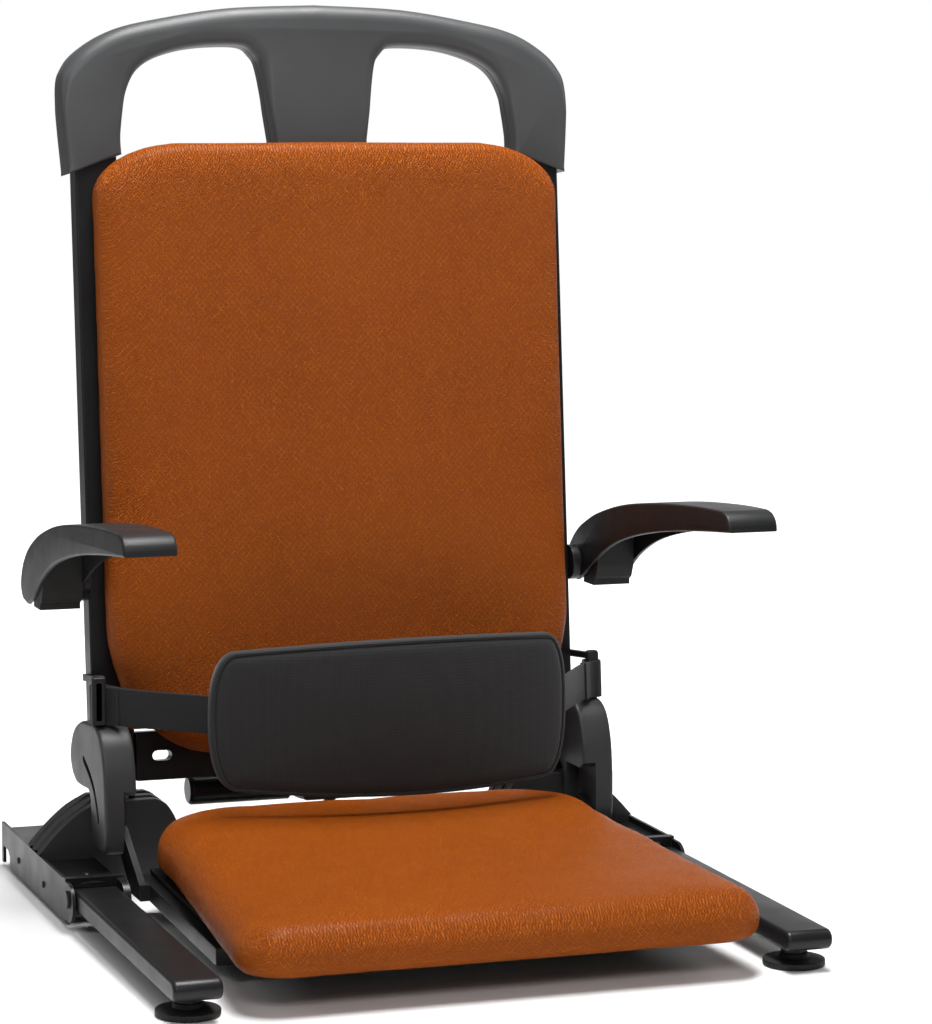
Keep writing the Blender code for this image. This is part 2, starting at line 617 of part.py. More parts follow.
def build_armrest(assembly, side_name, side):
    """A curved shell open below, with a hub block in its rear that turns on the pivot pin."""
    lean_y = CARRIAGE_Y + ARM_PIVOT[0] * cos(RECLINE) + ARM_PIVOT[1] * sin(RECLINE)
    lean_z = ARM_PIVOT[1] * cos(RECLINE) - ARM_PIVOT[0] * sin(RECLINE)
    top = [(0.1000, 0.3600), (0.1750, 0.3570), (0.2580, 0.3500), (0.3360, 0.3395), (0.3940, 0.3262),
           (0.4250, 0.3155), (0.4480, 0.3045), (0.4660, 0.2895), (0.4740, 0.2735), (0.4710, 0.2640),
           (0.4640, 0.2590)]
    under = [(0.4480, 0.2570), (0.4250, 0.2670), (0.3900, 0.2880), (0.3400, 0.3070), (0.2650, 0.3230),
             (0.1760, 0.3350), (0.0980, 0.3430)]
    outline = [*smooth_path(top, 3), *smooth_path(under, 2)]
    name = "armrest_" + side_name
    shell = soften(prism(name, outline, "X", span(side, ARM_X), "moulded_plastic", smooth=True), 0.0030, 2)
    roof = smooth_path([(0.1180, 0.3520), (0.1750, 0.3500), (0.2580, 0.3430), (0.3340, 0.3330),
                        (0.3910, 0.3190), (0.4340, 0.2985), (0.4610, 0.2760), (0.4630, 0.2400)], 2)
    wall = 0.0040
    pocket = prism(name + "_pocket", [*roof, (0.1180, 0.2400)], "X",
                   span(side, (ARM_X[0] + wall, ARM_X[1] - wall)), "moulded_plastic")
    pin_hole = cylinder(name + "_pin_hole", "X", (0, lean_y, lean_z), 0.0056, span(side, (0.22, 0.2450)),
                        "zinc", 16)
    cut(shell, pocket, pin_hole)
    hub_outline = [(0.4050, 0.2760), (0.4100, 0.2640), (0.4150, 0.2610), (0.4150, 0.2560), (0.4400, 0.2560),
                   (0.4400, 0.2600), (0.4600, 0.2600), (0.4605, 0.2740), (0.4300, 0.2980), (0.4050, 0.3100)]
    hub = prism("armrest_hub_" + side_name, hub_outline, "X",
                span(side, (ARM_X[0] + wall + GAP, ARM_X[1] - wall - GAP)), "moulded_plastic")
    cut(hub, cylinder("hub_bore_" + side_name, "X", (0, lean_y, lean_z), 0.0054, span(side, (0.22, 0.2690)),
                      "zinc", 16))
    hang(assembly, "armrest_flip_" + side_name, (0, lean_y, lean_z), shell, hub)


# Seat


def seat_underside(y):
    return 0.0290 + 0.0268 * (y - SEAT_FRONT_Y)


def seat_top(y):
    return 0.0700 + 0.0480 * (y - SEAT_FRONT_Y)


def seat_cushion():
    """A slab with rounded front corners that narrows to large-radius rear corners."""
    front = ellipse_arc((SEAT_HALF_FRONT - 0.040, SEAT_FRONT_Y + 0.038), (0.040, 0.038), -90, 0, 6)
    rear = ellipse_arc((SEAT_HALF_REAR - 0.065, SEAT_REAR_Y - 0.055), (0.065, 0.055), 0, 90, 6)
    outline = mirrored([(0.0, SEAT_FRONT_Y), *front, (SEAT_HALF_REAR, 0.2700), *rear, (0.0, SEAT_REAR_Y)])
    sections = [[(x, y, height(y)) for x, y in outline] for height in (seat_underside, seat_top)]
    return soften(loft("seat_cushion", sections, "leather", smooth=True), 0.0100, 2)


def seat_rail(name, side):
    """A side bar under the board, with a hinge lug that reaches up into the hinge cover."""
    drop = 0.0046 + GAP

    def bar_z(y, depth):
        return seat_underside(y) - drop - depth
    y0, y1 = 0.0900, 0.3400
    bar = prism(name, [(y0, bar_z(y0, 0.0150)), (y1, bar_z(y1, 0.0150)), (y1, bar_z(y1, 0)), (y0, bar_z(y0, 0))],
                "X", span(side, (0.1900, 0.2080)), "frame_paint")
    soften(bar, 0.0010)
    block = box(name + "_block", span(side, (0.1920, LUG_X[1])), (0.3020, 0.3380), (0.0190, 0.0330),
                "frame_paint")
    y, z = SEAT_PIVOT
    lug_outline = [(0.3050, 0.0200), (0.3350, 0.0200), *ellipse_arc((y, z), (0.0105, 0.0105), -50, 130, 8),
                   (0.3050, 0.0325)]
    lug = prism(name + "_lug", lug_outline, "X", span(side, LUG_X), "frame_paint")
    join(bar, block, lug)
    return cut(bar, cylinder(name + "_bore", "X", (0, y, z), 0.0043, span(side, (0.20, 0.23)), "zinc", 16))


def build_seat(assembly):
    y0, y1 = 0.0, 0.3400
    board_gap, board = GAP, 0.0043
    board_outline = [(y0, seat_underside(y0) - board), (y1, seat_underside(y1) - board),
                     (y1, seat_underside(y1) - board_gap), (y0, seat_underside(y0) - board_gap)]
    seat_board = prism("seat_board", board_outline, "X", (-0.1980, 0.1980), "frame_paint")
    bar_y = (0.1000, 0.1200)
    bar_z = (seat_underside(bar_y[0]) - 0.0200, seat_underside(bar_y[0]) - 0.0052)
    cross_bar = soften(box("seat_cross_bar", (-0.1897, 0.1897), bar_y, bar_z, "frame_paint"), 0.0010)
    rails = [seat_rail("seat_rail_" + side_name, side) for side_name, side in SIDES.items()]
    hang(assembly, "seat_fold", (0, *SEAT_PIVOT), seat_cushion(), seat_board, cross_bar, *rails)


clear_scene()
MATERIALS = make_materials()
assembly_frame = make_frame("assembly", (0, FRONT_FOOT_Y, 0))
masts_frame = make_frame("masts", (0, CARRIAGE_Y, 0), assembly_frame, -RECLINE)
carriage_frame = make_frame("carriage_lift", (0, CARRIAGE_Y, 0), assembly_frame, -RECLINE)
build_base(assembly_frame, masts_frame)
build_carriage(assembly_frame, carriage_frame)
build_seat(assembly_frame)
for arm_name, arm_side in SIDES.items():
    build_armrest(assembly_frame, arm_name, arm_side)
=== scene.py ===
import json
from math import cos, pi, radians, sin

import bmesh
import bpy
from mathutils import Matrix, Vector


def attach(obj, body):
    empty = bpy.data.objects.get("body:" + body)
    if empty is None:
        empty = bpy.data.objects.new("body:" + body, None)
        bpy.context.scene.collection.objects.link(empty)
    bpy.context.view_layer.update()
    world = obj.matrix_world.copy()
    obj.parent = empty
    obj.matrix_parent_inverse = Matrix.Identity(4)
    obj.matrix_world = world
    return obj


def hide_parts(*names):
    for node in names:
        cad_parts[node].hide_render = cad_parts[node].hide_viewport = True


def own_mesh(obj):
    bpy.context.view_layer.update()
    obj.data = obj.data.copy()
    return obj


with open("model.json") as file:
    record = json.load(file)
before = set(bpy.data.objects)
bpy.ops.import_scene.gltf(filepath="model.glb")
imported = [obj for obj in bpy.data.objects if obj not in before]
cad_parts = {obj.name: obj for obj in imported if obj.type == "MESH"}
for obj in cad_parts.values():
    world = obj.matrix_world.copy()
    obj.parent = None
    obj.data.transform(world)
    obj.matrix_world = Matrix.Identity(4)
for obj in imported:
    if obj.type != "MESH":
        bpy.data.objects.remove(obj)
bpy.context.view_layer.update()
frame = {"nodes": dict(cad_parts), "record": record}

# The looks of a folding floor chair whose backrest and seat rise together along two leaning masts.
# Metres, +Z up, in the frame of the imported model. What leans back with the masts is drawn upright, in
# the carriage's own coordinates, and the rest is drawn with Y from under the front feet.

BODY_OF = {node: body for body, nodes in frame["record"]["behaviour"]["bodies"].items() for node in nodes}
SIDES = {"left": -1, "right": 1}
RECLINE = radians(5.9)
FRONT_FOOT_Y = -0.26125
CARRIAGE_Y = 0.4148
ASSEMBLY = Matrix.Translation((0, FRONT_FOOT_Y, 0))
CARRIAGE = ASSEMBLY @ Matrix.Translation((0, CARRIAGE_Y, 0)) @ Matrix.Rotation(-RECLINE, 4, "X")
GAP = 0.0003

# Carriage
UPRIGHT_X = (0.1880, 0.2257)
UPRIGHT_DEPTH = 0.0220
UPRIGHT_TOP = 0.6600
HANDLE_Y = (-0.0040, 0.0300)
BACKREST_HALF = 0.2195
BACKREST_Y = (-0.0360, -0.0048)
BACKREST_Z = (0.1166, 0.6645)
SCREW_Y = 0.0340
ARM_PIVOT = (0.0030, 0.2760)
ARM_X = (0.2352, 0.2794)
HINGE_COVER_X = (0.2060, 0.2350)

# Base
LEG_X = (0.2352, 0.2752)
LEG_Z = (0.0174, 0.0343)
LEG_FRONT_Y = -0.0330
LEG_PIVOT = (0.3000, 0.0258)
FOOT_X = 0.2552

# Seat
SEAT_FRONT_Y = -0.0425
SEAT_REAR_Y = 0.3720
SEAT_HALF_FRONT = 0.2250
SEAT_HALF_REAR = 0.2035
BOARD_SLOPE = 0.0268  # of the seat board, and so of the cushion's underside
CUSHION_VOXEL = 0.0050
CUSHION_SWELL = 0.0030

# Belt
PAD_HALF = 0.1620
PAD_X = 0.0080  # the pad hangs a little off the middle
PAD_END = 0.0230  # how far the curve of its ends reaches inwards
PAD_FRONT_Y = 0.2700
PAD_BOW = 0.0300
PAD_THICK = 0.0120
PAD_MIDDLE_Z = 0.1705
STRAP_Z = (0.1585, 0.1915)
STRAP_THICK = 0.0020
LOOP_TILT = 0.10  # of the webbing round its post, which leans back with the masts

# Small details
GRAIN = 0.0054  # the pitch of the leather's slanting net
THREAD_PITCH = 0.0030
THREAD_DEPTH = 0.0008
SCREW_Z = (0.0500, 0.5200)
BUTTON_X = -0.1150
BUTTON_Z = {"up": 0.3780, "down": 0.3530}

# Studio
BACKDROP = (0.332, 0.943)  # the way from the chair to the white backdrop
BACKDROP_LIGHT = 1.0
ROOM_LIGHT = 0.16
FLOOR_REACH = 14.0
LENS = 127.16
CAMERA_SPOT = (-0.9575, -2.8939, 0.7241)
CAMERA_PAN, CAMERA_TILT, CAMERA_ROLL = radians(-19.40), radians(83.01), radians(0.293)


# Materials


def add(tree, kind, inputs=(), **settings):
    """A shader node with its settings, and its inputs as (name, value or socket) pairs."""
    made = tree.nodes.new("ShaderNode" + kind)
    for name, value in settings.items():
        setattr(made, name, value)
    for name, value in inputs:
        if isinstance(value, bpy.types.NodeSocket):
            tree.links.new(value, made.inputs[name])
        else:
            made.inputs[name].default_value = value
    return made


def maths(tree, operation, a, b=0.0):
    return add(tree, "Math", ((0, a), (1, b)), operation=operation).outputs[0]


def mixed(tree, factor, a, b):
    return add(tree, "Mix", ((0, factor), (6, a), (7, b)), data_type="RGBA").outputs[2]


def ranged(tree, value, low, high, to_low=0.0, to_high=1.0):
    return add(tree, "MapRange", (("Value", value), ("From Min", low), ("From Max", high), ("To Min", to_low),
                                  ("To Max", to_high))).outputs[0]


def noise(tree, vector, scale, detail):
    return add(tree, "TexNoise", (("Vector", vector), ("Scale", scale), ("Detail", detail))).outputs[0]


def bumped(tree, height, distance, strength):
    return add(tree, "Bump", (("Height", height), ("Distance", distance), ("Strength", strength))).outputs[0]


def start_material(name, **uniform):
    """A material's tree, its shader and the piece's own coordinates. uniform sets the shader's sockets."""
    material = bpy.data.materials.new(name)
    material.use_nodes = True
    tree = material.node_tree
    shader = tree.nodes["Principled BSDF"]
    for socket, value in uniform.items():
        shader.inputs[socket.replace("_", " ").title().replace("Ior", "IOR")].default_value = value
    place = add(tree, "TexCoord").outputs["Object"]
    return material, tree, shader, place


def worn_and_highlit_edges(tree, radius):
    """From 0 on flat faces to 1 along edges: the mask for wear where handling has polished the finish, and
    for a painted highlight along the edges.
    """
    rounded = add(tree, "Bevel", (("Radius", radius),), samples=4).outputs[0]
    flat = add(tree, "NewGeometry").outputs["Normal"]
    agree = add(tree, "VectorMath", ((0, rounded), (1, flat)), operation="DOT_PRODUCT").outputs["Value"]
    return ranged(tree, agree, 0.995, 0.90)


def leather():
    """Dyed leather with a pebbled grain in a slanting net, with painted shade in its creases and painted
    highlights on its pale ridges.
    """
    material, tree, shader, place = start_material("grained_leather", specular_ior_level=0.09,
                                                  coat_weight=0.05, coat_roughness=0.34)
    wander = add(tree, "TexNoise", (("Vector", place), ("Scale", 240.0), ("Detail", 2.0))).outputs["Color"]
    warp = add(tree, "VectorMath", ((0, wander), ("Scale", 0.0030)), operation="SCALE").outputs[0]
    warped = add(tree, "VectorMath", ((0, place), (1, warp)), operation="ADD").outputs[0]
    x, y, z = add(tree, "SeparateXYZ", ((0, warped),)).outputs
    along = maths(tree, "SUBTRACT", z, y)
    turns = 2 * pi / GRAIN
    rising = maths(tree, "SINE", maths(tree, "MULTIPLY", maths(tree, "ADD", x, along), turns))
    falling = maths(tree, "SINE", maths(tree, "MULTIPLY", maths(tree, "SUBTRACT", x, along), turns))
    net = maths(tree, "MINIMUM", maths(tree, "ABSOLUTE", rising), maths(tree, "ABSOLUTE", falling))
    broken = ranged(tree, noise(tree, place, 300.0, 2.0), 0.38, 0.62)
    # Painted highlight: pale dashes along the ridges of the net, broken by noise.
    ridge_highlights = ranged(tree, maths(tree, "MAXIMUM", rising, falling), 0.60, 1.0)
    ridge_highlights = maths(tree, "MULTIPLY", ridge_highlights, broken)
    net = ranged(tree, net, 0.0, 0.55)
    pebbles = add(tree, "TexVoronoi", (("Vector", warped), ("Scale", 560.0)),
                  feature="DISTANCE_TO_EDGE").outputs["Distance"]
    pebble = ranged(tree, pebbles, 0.0, 0.25)
    height = maths(tree, "ADD", maths(tree, "MULTIPLY", net, 0.70), maths(tree, "MULTIPLY", pebble, 0.35))
    height = maths(tree, "ADD", height, maths(tree, "MULTIPLY", noise(tree, warped, 1500.0, 2.0), 0.20))
    tree.links.new(bumped(tree, height, 0.00105, 1.0), shader.inputs["Normal"])
    clouds = ranged(tree, noise(tree, place, 7.0, 3.0), 0.34, 0.66)
    mottle = ranged(tree, noise(tree, place, 55.0, 3.0), 0.35, 0.70)
    dye_and_highlight = mixed(tree, clouds, (0.306, 0.061, 0.0012, 1), (0.268, 0.055, 0.0011, 1))
    dye_and_highlight = mixed(tree, maths(tree, "MULTIPLY", mottle, 0.35), dye_and_highlight, (0.342, 0.075, 0.0022, 1))
    # Painted highlight: the ridges mixed towards a pale orange.
    dye_and_highlight = mixed(tree, maths(tree, "MULTIPLY", ridge_highlights, 0.55), dye_and_highlight, (0.500, 0.126, 0.0050, 1))
    # Painted shade: the creases of the net mixed towards a deep brown.
    crease_shaded_colour = mixed(tree, ranged(tree, net, 0.0, 0.70, 0.58, 0.0), dye_and_highlight, (0.120, 0.023, 0.0006, 1))
    tree.links.new(crease_shaded_colour, shader.inputs["Base Color"])
    gloss = ranged(tree, noise(tree, place, 30.0, 2.0), 0.3, 0.7, 0.40, 0.50)
    tree.links.new(gloss, shader.inputs["Roughness"])
    return material


def moulded_plastic(name, shade, specular):
    """A fine-grained moulding. shade is how light it is, beside the handle's 1."""
    material, tree, shader, place = start_material(name, specular_ior_level=specular)
    edges = worn_and_highlit_edges(tree, 0.0012)
    tone = ranged(tree, noise(tree, place, 9.0, 2.0), 0.3, 0.7)
    low, high, edge_wear_and_highlight = [tuple(shade * value for value in (grey, grey * 1.02, grey * 1.05)) + (1,)
                       for grey in (0.038, 0.046, 0.080)]
    body = mixed(tree, tone, low, high)
    # Lighter along the edges: wear, and a painted highlight on the rounded edges.
    colour = mixed(tree, maths(tree, "MULTIPLY", edges, 0.5), body, edge_wear_and_highlight)
    tree.links.new(colour, shader.inputs["Base Color"])
    grain = add(tree, "TexVoronoi", (("Vector", place), ("Scale", 1500.0)), feature="SMOOTH_F1")
    tree.links.new(bumped(tree, grain.outputs["Distance"], 0.00016, 0.5), shader.inputs["Normal"])
    rough = ranged(tree, noise(tree, place, 40.0, 3.0), 0.3, 0.7, 0.40, 0.48)
    tree.links.new(rough, shader.inputs["Roughness"])
    return material


def frame_paint():
    """Black powder coat over steel, with a faint orange peel and lighter, smoother edges, partly wear and
    partly a painted highlight.
    """
    material, tree, shader, place = start_material("frame_paint", specular_ior_level=0.20, coat_weight=0.06,
                                                  coat_roughness=0.20)
    edges = worn_and_highlit_edges(tree, 0.0009)
    scuffs = ranged(tree, noise(tree, place, 60.0, 4.0), 0.45, 0.75)
    # Wear from scuffs, and a painted highlight, mixed towards a lighter grey along the edges.
    wear_and_highlight = maths(tree, "MULTIPLY", edges, maths(tree, "ADD", maths(tree, "MULTIPLY", scuffs, 0.5), 0.35))
    colour = mixed(tree, wear_and_highlight, (0.0100, 0.0100, 0.0108, 1), (0.110, 0.110, 0.112, 1))
    tree.links.new(colour, shader.inputs["Base Color"])
    peel = noise(tree, place, 750.0, 1.0)
    tree.links.new(bumped(tree, peel, 0.00012, 0.5), shader.inputs["Normal"])
    rough = ranged(tree, noise(tree, place, 25.0, 3.0), 0.3, 0.7, 0.30, 0.42)
    tree.links.new(rough, shader.inputs["Roughness"])
    return material


def rubber():
    material, tree, shader, place = start_material("rubber", specular_ior_level=0.35)
    dust = ranged(tree, noise(tree, place, 80.0, 4.0), 0.4, 0.8)
    tree.links.new(mixed(tree, dust, (0.007, 0.007, 0.007, 1), (0.014, 0.014, 0.013, 1)),
                   shader.inputs["Base Color"])
    tree.links.new(bumped(tree, noise(tree, place, 900.0, 2.0), 0.0002, 0.6), shader.inputs["Normal"])
    tree.links.new(ranged(tree, dust, 0.0, 1.0, 0.62, 0.80), shader.inputs["Roughness"])
    return material


def zinc():
    """Drawn and plated steel, with its marks along Z."""
    material, tree, shader, place = start_material("zinc_plated", metallic=1.0)
    drawn = add(tree, "Mapping", (("Vector", place), ("Scale", (1.0, 1.0, 0.015)))).outputs[0]
    lines = noise(tree, drawn, 1100.0, 2.0)
    tree.links.new(mixed(tree, lines, (0.46, 0.46, 0.47, 1), (0.60, 0.60, 0.61, 1)),
                   shader.inputs["Base Color"])
    tree.links.new(ranged(tree, lines, 0.2, 0.8, 0.24, 0.40), shader.inputs["Roughness"])
    tree.links.new(bumped(tree, lines, 0.00005, 0.4), shader.inputs["Normal"])
    return material


def woven(name, pitch, dark, light, depth):
    """A plain weave in X and Z, drawn by two crossed sets of threads."""
    material, tree, shader, place = start_material(name, specular_ior_level=0.3, sheen_weight=0.10,
                                                  sheen_roughness=0.5)
    parts = add(tree, "SeparateXYZ", ((0, place),)).outputs
    turns = 2 * pi / pitch
    along = maths(tree, "SINE", maths(tree, "MULTIPLY", parts[0], turns))
    across = maths(tree, "SINE", maths(tree, "MULTIPLY", parts[2], turns))
    depthwise = maths(tree, "SINE", maths(tree, "MULTIPLY", parts[1], turns))
    cell = maths(tree, "MULTIPLY", along, across)
    threads = maths(tree, "ADD", maths(tree, "MULTIPLY", across, 0.30), maths(tree, "MULTIPLY", along, 0.26))
    height = maths(tree, "ADD", maths(tree, "MULTIPLY", cell, 0.35), threads)
    height = maths(tree, "ADD", height, maths(tree, "MULTIPLY", depthwise, 0.15))
    fuzz = noise(tree, place, 1400.0, 2.0)
    height = maths(tree, "ADD", height, maths(tree, "MULTIPLY", fuzz, 0.5))
    tone = mixed(tree, ranged(tree, height, -0.6, 1.0), dark, light)
    faded = mixed(tree, ranged(tree, noise(tree, place, 12.0, 2.0), 0.3, 0.7, 0.0, 0.25), tone, light)
    tree.links.new(faded, shader.inputs["Base Color"])
    tree.links.new(bumped(tree, height, depth, 0.7), shader.inputs["Normal"])
    tree.links.new(ranged(tree, fuzz, 0.2, 0.8, 0.72, 0.90), shader.inputs["Roughness"])
    return material


def smooth_plastic(name, low, high):
    """A clean moulding for hands, with a light satin and a little uneven gloss."""
    material, tree, shader, place = start_material(name, specular_ior_level=0.5)
    tone = ranged(tree, noise(tree, place, 20.0, 2.0), 0.3, 0.7)
    tree.links.new(mixed(tree, tone, low, high), shader.inputs["Base Color"])
    tree.links.new(bumped(tree, noise(tree, place, 1200.0, 1.0), 0.00008, 0.4), shader.inputs["Normal"])
    tree.links.new(ranged(tree, noise(tree, place, 45.0, 3.0), 0.3, 0.7, 0.30, 0.42),
                   shader.inputs["Roughness"])
    return material


def floor_finish():
    """White paint, lit from within where it runs back to the backdrop."""
    material, tree, shader, place = start_material("floor_finish")
    tone = ranged(tree, noise(tree, place, 1.5, 3.0), 0.3, 0.7)
    tree.links.new(mixed(tree, tone, (0.88, 0.88, 0.88, 1), (0.90, 0.90, 0.90, 1)),
                   shader.inputs["Base Color"])
    shader.inputs["Roughness"].default_value = 0.60
    back, aside = [add(tree, "VectorMath", ((0, place), (1, way)), operation="DOT_PRODUCT").outputs["Value"]
                   for way in ((*BACKDROP, 0.0), (BACKDROP[1], -BACKDROP[0], 0.0))]
    wedge_tip = 3.05  # how far in front of the chair the lit wedge starts
    slant = maths(tree, "DIVIDE", maths(tree, "ABSOLUTE", aside), maths(tree, "ADD", back, wedge_tip))
    within = ranged(tree, slant, 0.26, 0.15)
    deep = ranged(tree, back, 0.25, 2.4, 0.0, 0.86)
    shader.inputs["Emission Color"].default_value = (1, 1, 1, 1)
    tree.links.new(maths(tree, "MULTIPLY", within, deep), shader.inputs["Emission Strength"])
    return material


PAINTS = {  # look: (material, the record's slot)
    "leather": (leather(), "leather"),
    "plastic": (moulded_plastic("moulded_plastic", 1.15, 0.36), "moulded_plastic"),
    "dark_plastic": (moulded_plastic("dark_plastic", 0.26, 0.24), "moulded_plastic"),
    "grey_plastic": (moulded_plastic("grey_plastic", 0.70, 0.30), "moulded_plastic"),
    "paint": (frame_paint(), "frame_paint"),
    "rubber": (rubber(), "rubber"),
    "zinc": (zinc(), "zinc"),
    "pad": (woven("pad_cloth", 0.0027, (0.010, 0.010, 0.011, 1), (0.018, 0.018, 0.019, 1), 0.00013),
            "belt_fabric"),
    "webbing": (woven("webbing", 0.0024, (0.004, 0.004, 0.005, 1), (0.010, 0.010, 0.011, 1), 0.00016),
                "belt_fabric"),
    "white": (smooth_plastic("handset_plastic", (0.72, 0.71, 0.68, 1), (0.78, 0.77, 0.74, 1)),
              "handset_plastic"),
    "green": (smooth_plastic("green_silicone", (0.05, 0.30, 0.12, 1), (0.07, 0.36, 0.15, 1)),
              "button_rubber"),
    "orange": (smooth_plastic("orange_silicone", (0.52, 0.10, 0.03, 1), (0.60, 0.13, 0.04, 1)),
               "button_rubber"),
}


# Outlines


def arc(centre, radii, start, end, steps):
    """Points of an elliptical arc between two angles in degrees, both ends included."""
    angles = [radians(start + (end - start) * i / steps) for i in range(steps + 1)]
    return [(centre[0] + radii[0] * cos(a), centre[1] + radii[1] * sin(a)) for a in angles]


def smooth_path(points, steps):
    """A Catmull-Rom curve through the points, which it passes in order."""
    ends = [points[0], *points, points[-1]]
    path = []
    for i in range(len(points) - 1):
        a, b, c, d = (Vector(p) for p in ends[i : i + 4])
        for t in (step / steps for step in range(steps)):
            path.append(tuple(0.5 * (2 * b + (c - a) * t + (2 * a - 5 * b + 4 * c - d) * t * t
                                     + (3 * b - a - 3 * c + d) * t**3)))
    return [*path, tuple(points[-1])]


def mirrored(half):
    """A half outline, from its lowest point up its +X side, closed by its mirror image."""
    return [*half, *[(-x, v) for x, v in reversed(half) if abs(x) > 1e-6]]


def rectangle(a_range, b_range):
    (a0, a1), (b0, b1) = a_range, b_range
    return [(a0, b0), (a1, b0), (a1, b1), (a0, b1)]


def rounded(a_range, b_range, radius, steps):
    (a0, a1), (b0, b1) = a_range, b_range
    corners = ((a1, b0, -90), (a1, b1, 0), (a0, b1, 90), (a0, b0, 180))
    points = []
    for a, b, start in corners:
        middle = (a + (radius if a == a0 else -radius), b + (radius if b == b0 else -radius))
        points += arc(middle, (radius, radius), start, start + 90, steps)
    return points


def spread(outline, step):
    """The outline with points added so that none are further apart than step."""
    points = []
    for p, q in zip(outline, [*outline[1:], outline[0]]):
        p, q = Vector(p), Vector(q)
        count = max(1, int((q - p).length / step + 0.999))
        points += [tuple(p.lerp(q, i / count)) for i in range(count)]
    return points


def inset(outline, amounts):
    """The outline moved inwards, by one amount or by one for each of its points."""
    if not hasattr(amounts, "__len__"):
        amounts = [amounts] * len(outline)
    points = [Vector(p) for p in outline]
    turn = sum(p.x * q.y - q.x * p.y for p, q in zip(points, [*points[1:], points[0]]))
    moved = []
    for i, point in enumerate(points):
        before, after = point - points[i - 1], points[(i + 1) % len(points)] - point
        normals = [Vector((-d.y, d.x)).normalized() * (1 if turn > 0 else -1) for d in (before, after)]
        mitre = normals[0] + normals[1]
        moved.append(tuple(point + mitre * amounts[i] / max(0.5, mitre.length_squared / 2)))
    return moved


def directions(points):
    """The unit direction of a path at each of its points."""
    return [(points[min(i + 1, len(points) - 1)] - points[max(i - 1, 0)]).normalized()
            for i in range(len(points))]


def span(side, x_range):
    return sorted(side * x for x in x_range)


# Solids


def hexagon(height, angle):
    """Scales a turned radius to a hexagon's flats."""
    return cos(pi / 6) / cos((angle + pi / 6) % (pi / 3) - pi / 6)


def piece_of(name, builder, paint, place=ASSEMBLY, sharp=38):
    bmesh.ops.recalc_face_normals(builder, faces=builder.faces)
    mesh = bpy.data.meshes.new(name)
    builder.to_mesh(mesh)
    builder.free()
    mesh.transform(place)
    mesh.shade_smooth()
    mesh.set_sharp_from_angle(angle=radians(sharp))
    material, slot = PAINTS[paint]
    mesh.materials.append(material)
    made = bpy.data.objects.new(name, mesh)
    bpy.context.scene.collection.objects.link(made)
    return made


def add_rings(builder, rings):
    """A skin through rings of equal point counts, capped at both ends."""
    made = [[builder.verts.new(point) for point in ring] for ring in rings]
    for low, high in zip(made, made[1:]):
        for i in range(len(low)):
            j = (i + 1) % len(low)
            builder.faces.new((low[i], low[j], high[j], high[i]))
    builder.faces.new(reversed(made[0]))
    builder.faces.new(made[-1])
    return builder


def across(axis):
    """Places an outline's point at a depth along the axis."""
    return {
        "X": lambda a, b, w: (w, a, b),
        "Y": lambda a, b, w: (a, w, b),
        "Z": lambda a, b, w: (a, b, w),
    }[axis]


def layered(builder, outline, axis, layers):
    """An outline run along an axis through (inset, depth) layers."""
    place = across(axis)
    rings = [[place(a, b, w) for a, b in inset(outline, amount)] for amount, w in layers]
    return add_rings(builder, rings)


def edge_layers(low, high, radius, steps):
    """The layers of a plate whose edges are rounded all round."""
    turns = [radians(90 * i / steps) for i in range(steps + 1)]
    start = [(radius * (1 - sin(t)), low + radius * (1 - cos(t))) for t in turns]
    end = [(amount, low + high - w) for amount, w in reversed(start)]
    return [*start, *end]


def plate(name, outline, axis, between, radius, paint, steps):
    return piece_of(name, layered(bmesh.new(), outline, axis, edge_layers(*between, radius, steps)), paint)


def prism(name, outline, axis, between, paint, place=ASSEMBLY):
    return piece_of(name, layered(bmesh.new(), outline, axis, [(0, w) for w in between]), paint, place)


def add_turned(builder, profile, place, segments, shape=None):
    """An open profile of (radius, height) points turned about Z, then put in place.

    shape(height, angle) scales the radius, as for flats or ribs."""
    rings = []
    for radius, height in profile:
        ring = []
        for i in range(segments):
            a = 2 * pi * i / segments
            r = radius * (shape(height, a) if shape else 1)
            ring.append(place @ Vector((r * cos(a), r * sin(a), height)))
        rings.append(ring)
    return add_rings(builder, rings)


def settle(piece):
    """Makes the piece's modifiers part of its mesh."""
    graph = bpy.context.evaluated_depsgraph_get()
    mesh = bpy.data.meshes.new_from_object(piece.evaluated_get(graph))
    piece.modifiers.clear()
    piece.data = mesh


def bevelled(piece, width, segments, angle):
    bevel = piece.modifiers.new("rounded_edges", "BEVEL")
    bevel.width = width
    bevel.segments = segments
    bevel.limit_method = "ANGLE"
    bevel.angle_limit = radians(angle)
    bevel.miter_outer = "MITER_ARC"
    weighted = piece.modifiers.new("even_shading", "WEIGHTED_NORMAL")
    weighted.keep_sharp = False
    settle(piece)


def carve(piece, *cutters):
    for cutter in cutters:
        modifier = piece.modifiers.new("cut", "BOOLEAN")
        modifier.operation = "DIFFERENCE"
        modifier.object = cutter
    settle(piece)
    for cutter in cutters:
        bpy.data.objects.remove(cutter)
    return piece


def smoothed(piece, angle):
    piece.data.shade_smooth()
    piece.data.set_sharp_from_angle(angle=radians(angle))
    return piece


def stand_for(piece, *nodes):
    """The piece takes the place of CAD nodes, and moves with their body."""
    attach(piece, BODY_OF[nodes[0]])
    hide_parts(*nodes)
    return piece


def refined(node, paint, width, segments=2):
    """A CAD node's own shape with its edges rounded."""
    angle = 32
    builder = bmesh.new()
    builder.from_mesh(frame["nodes"][node].data)
    bmesh.ops.remove_doubles(builder, verts=builder.verts, dist=1e-5)
    bmesh.ops.dissolve_limit(builder, angle_limit=radians(1.0), verts=builder.verts, edges=builder.edges)
    piece = piece_of(node + "_finished", builder, paint, Matrix(), angle)
    bevelled(piece, width, segments, angle)
    return stand_for(piece, node)


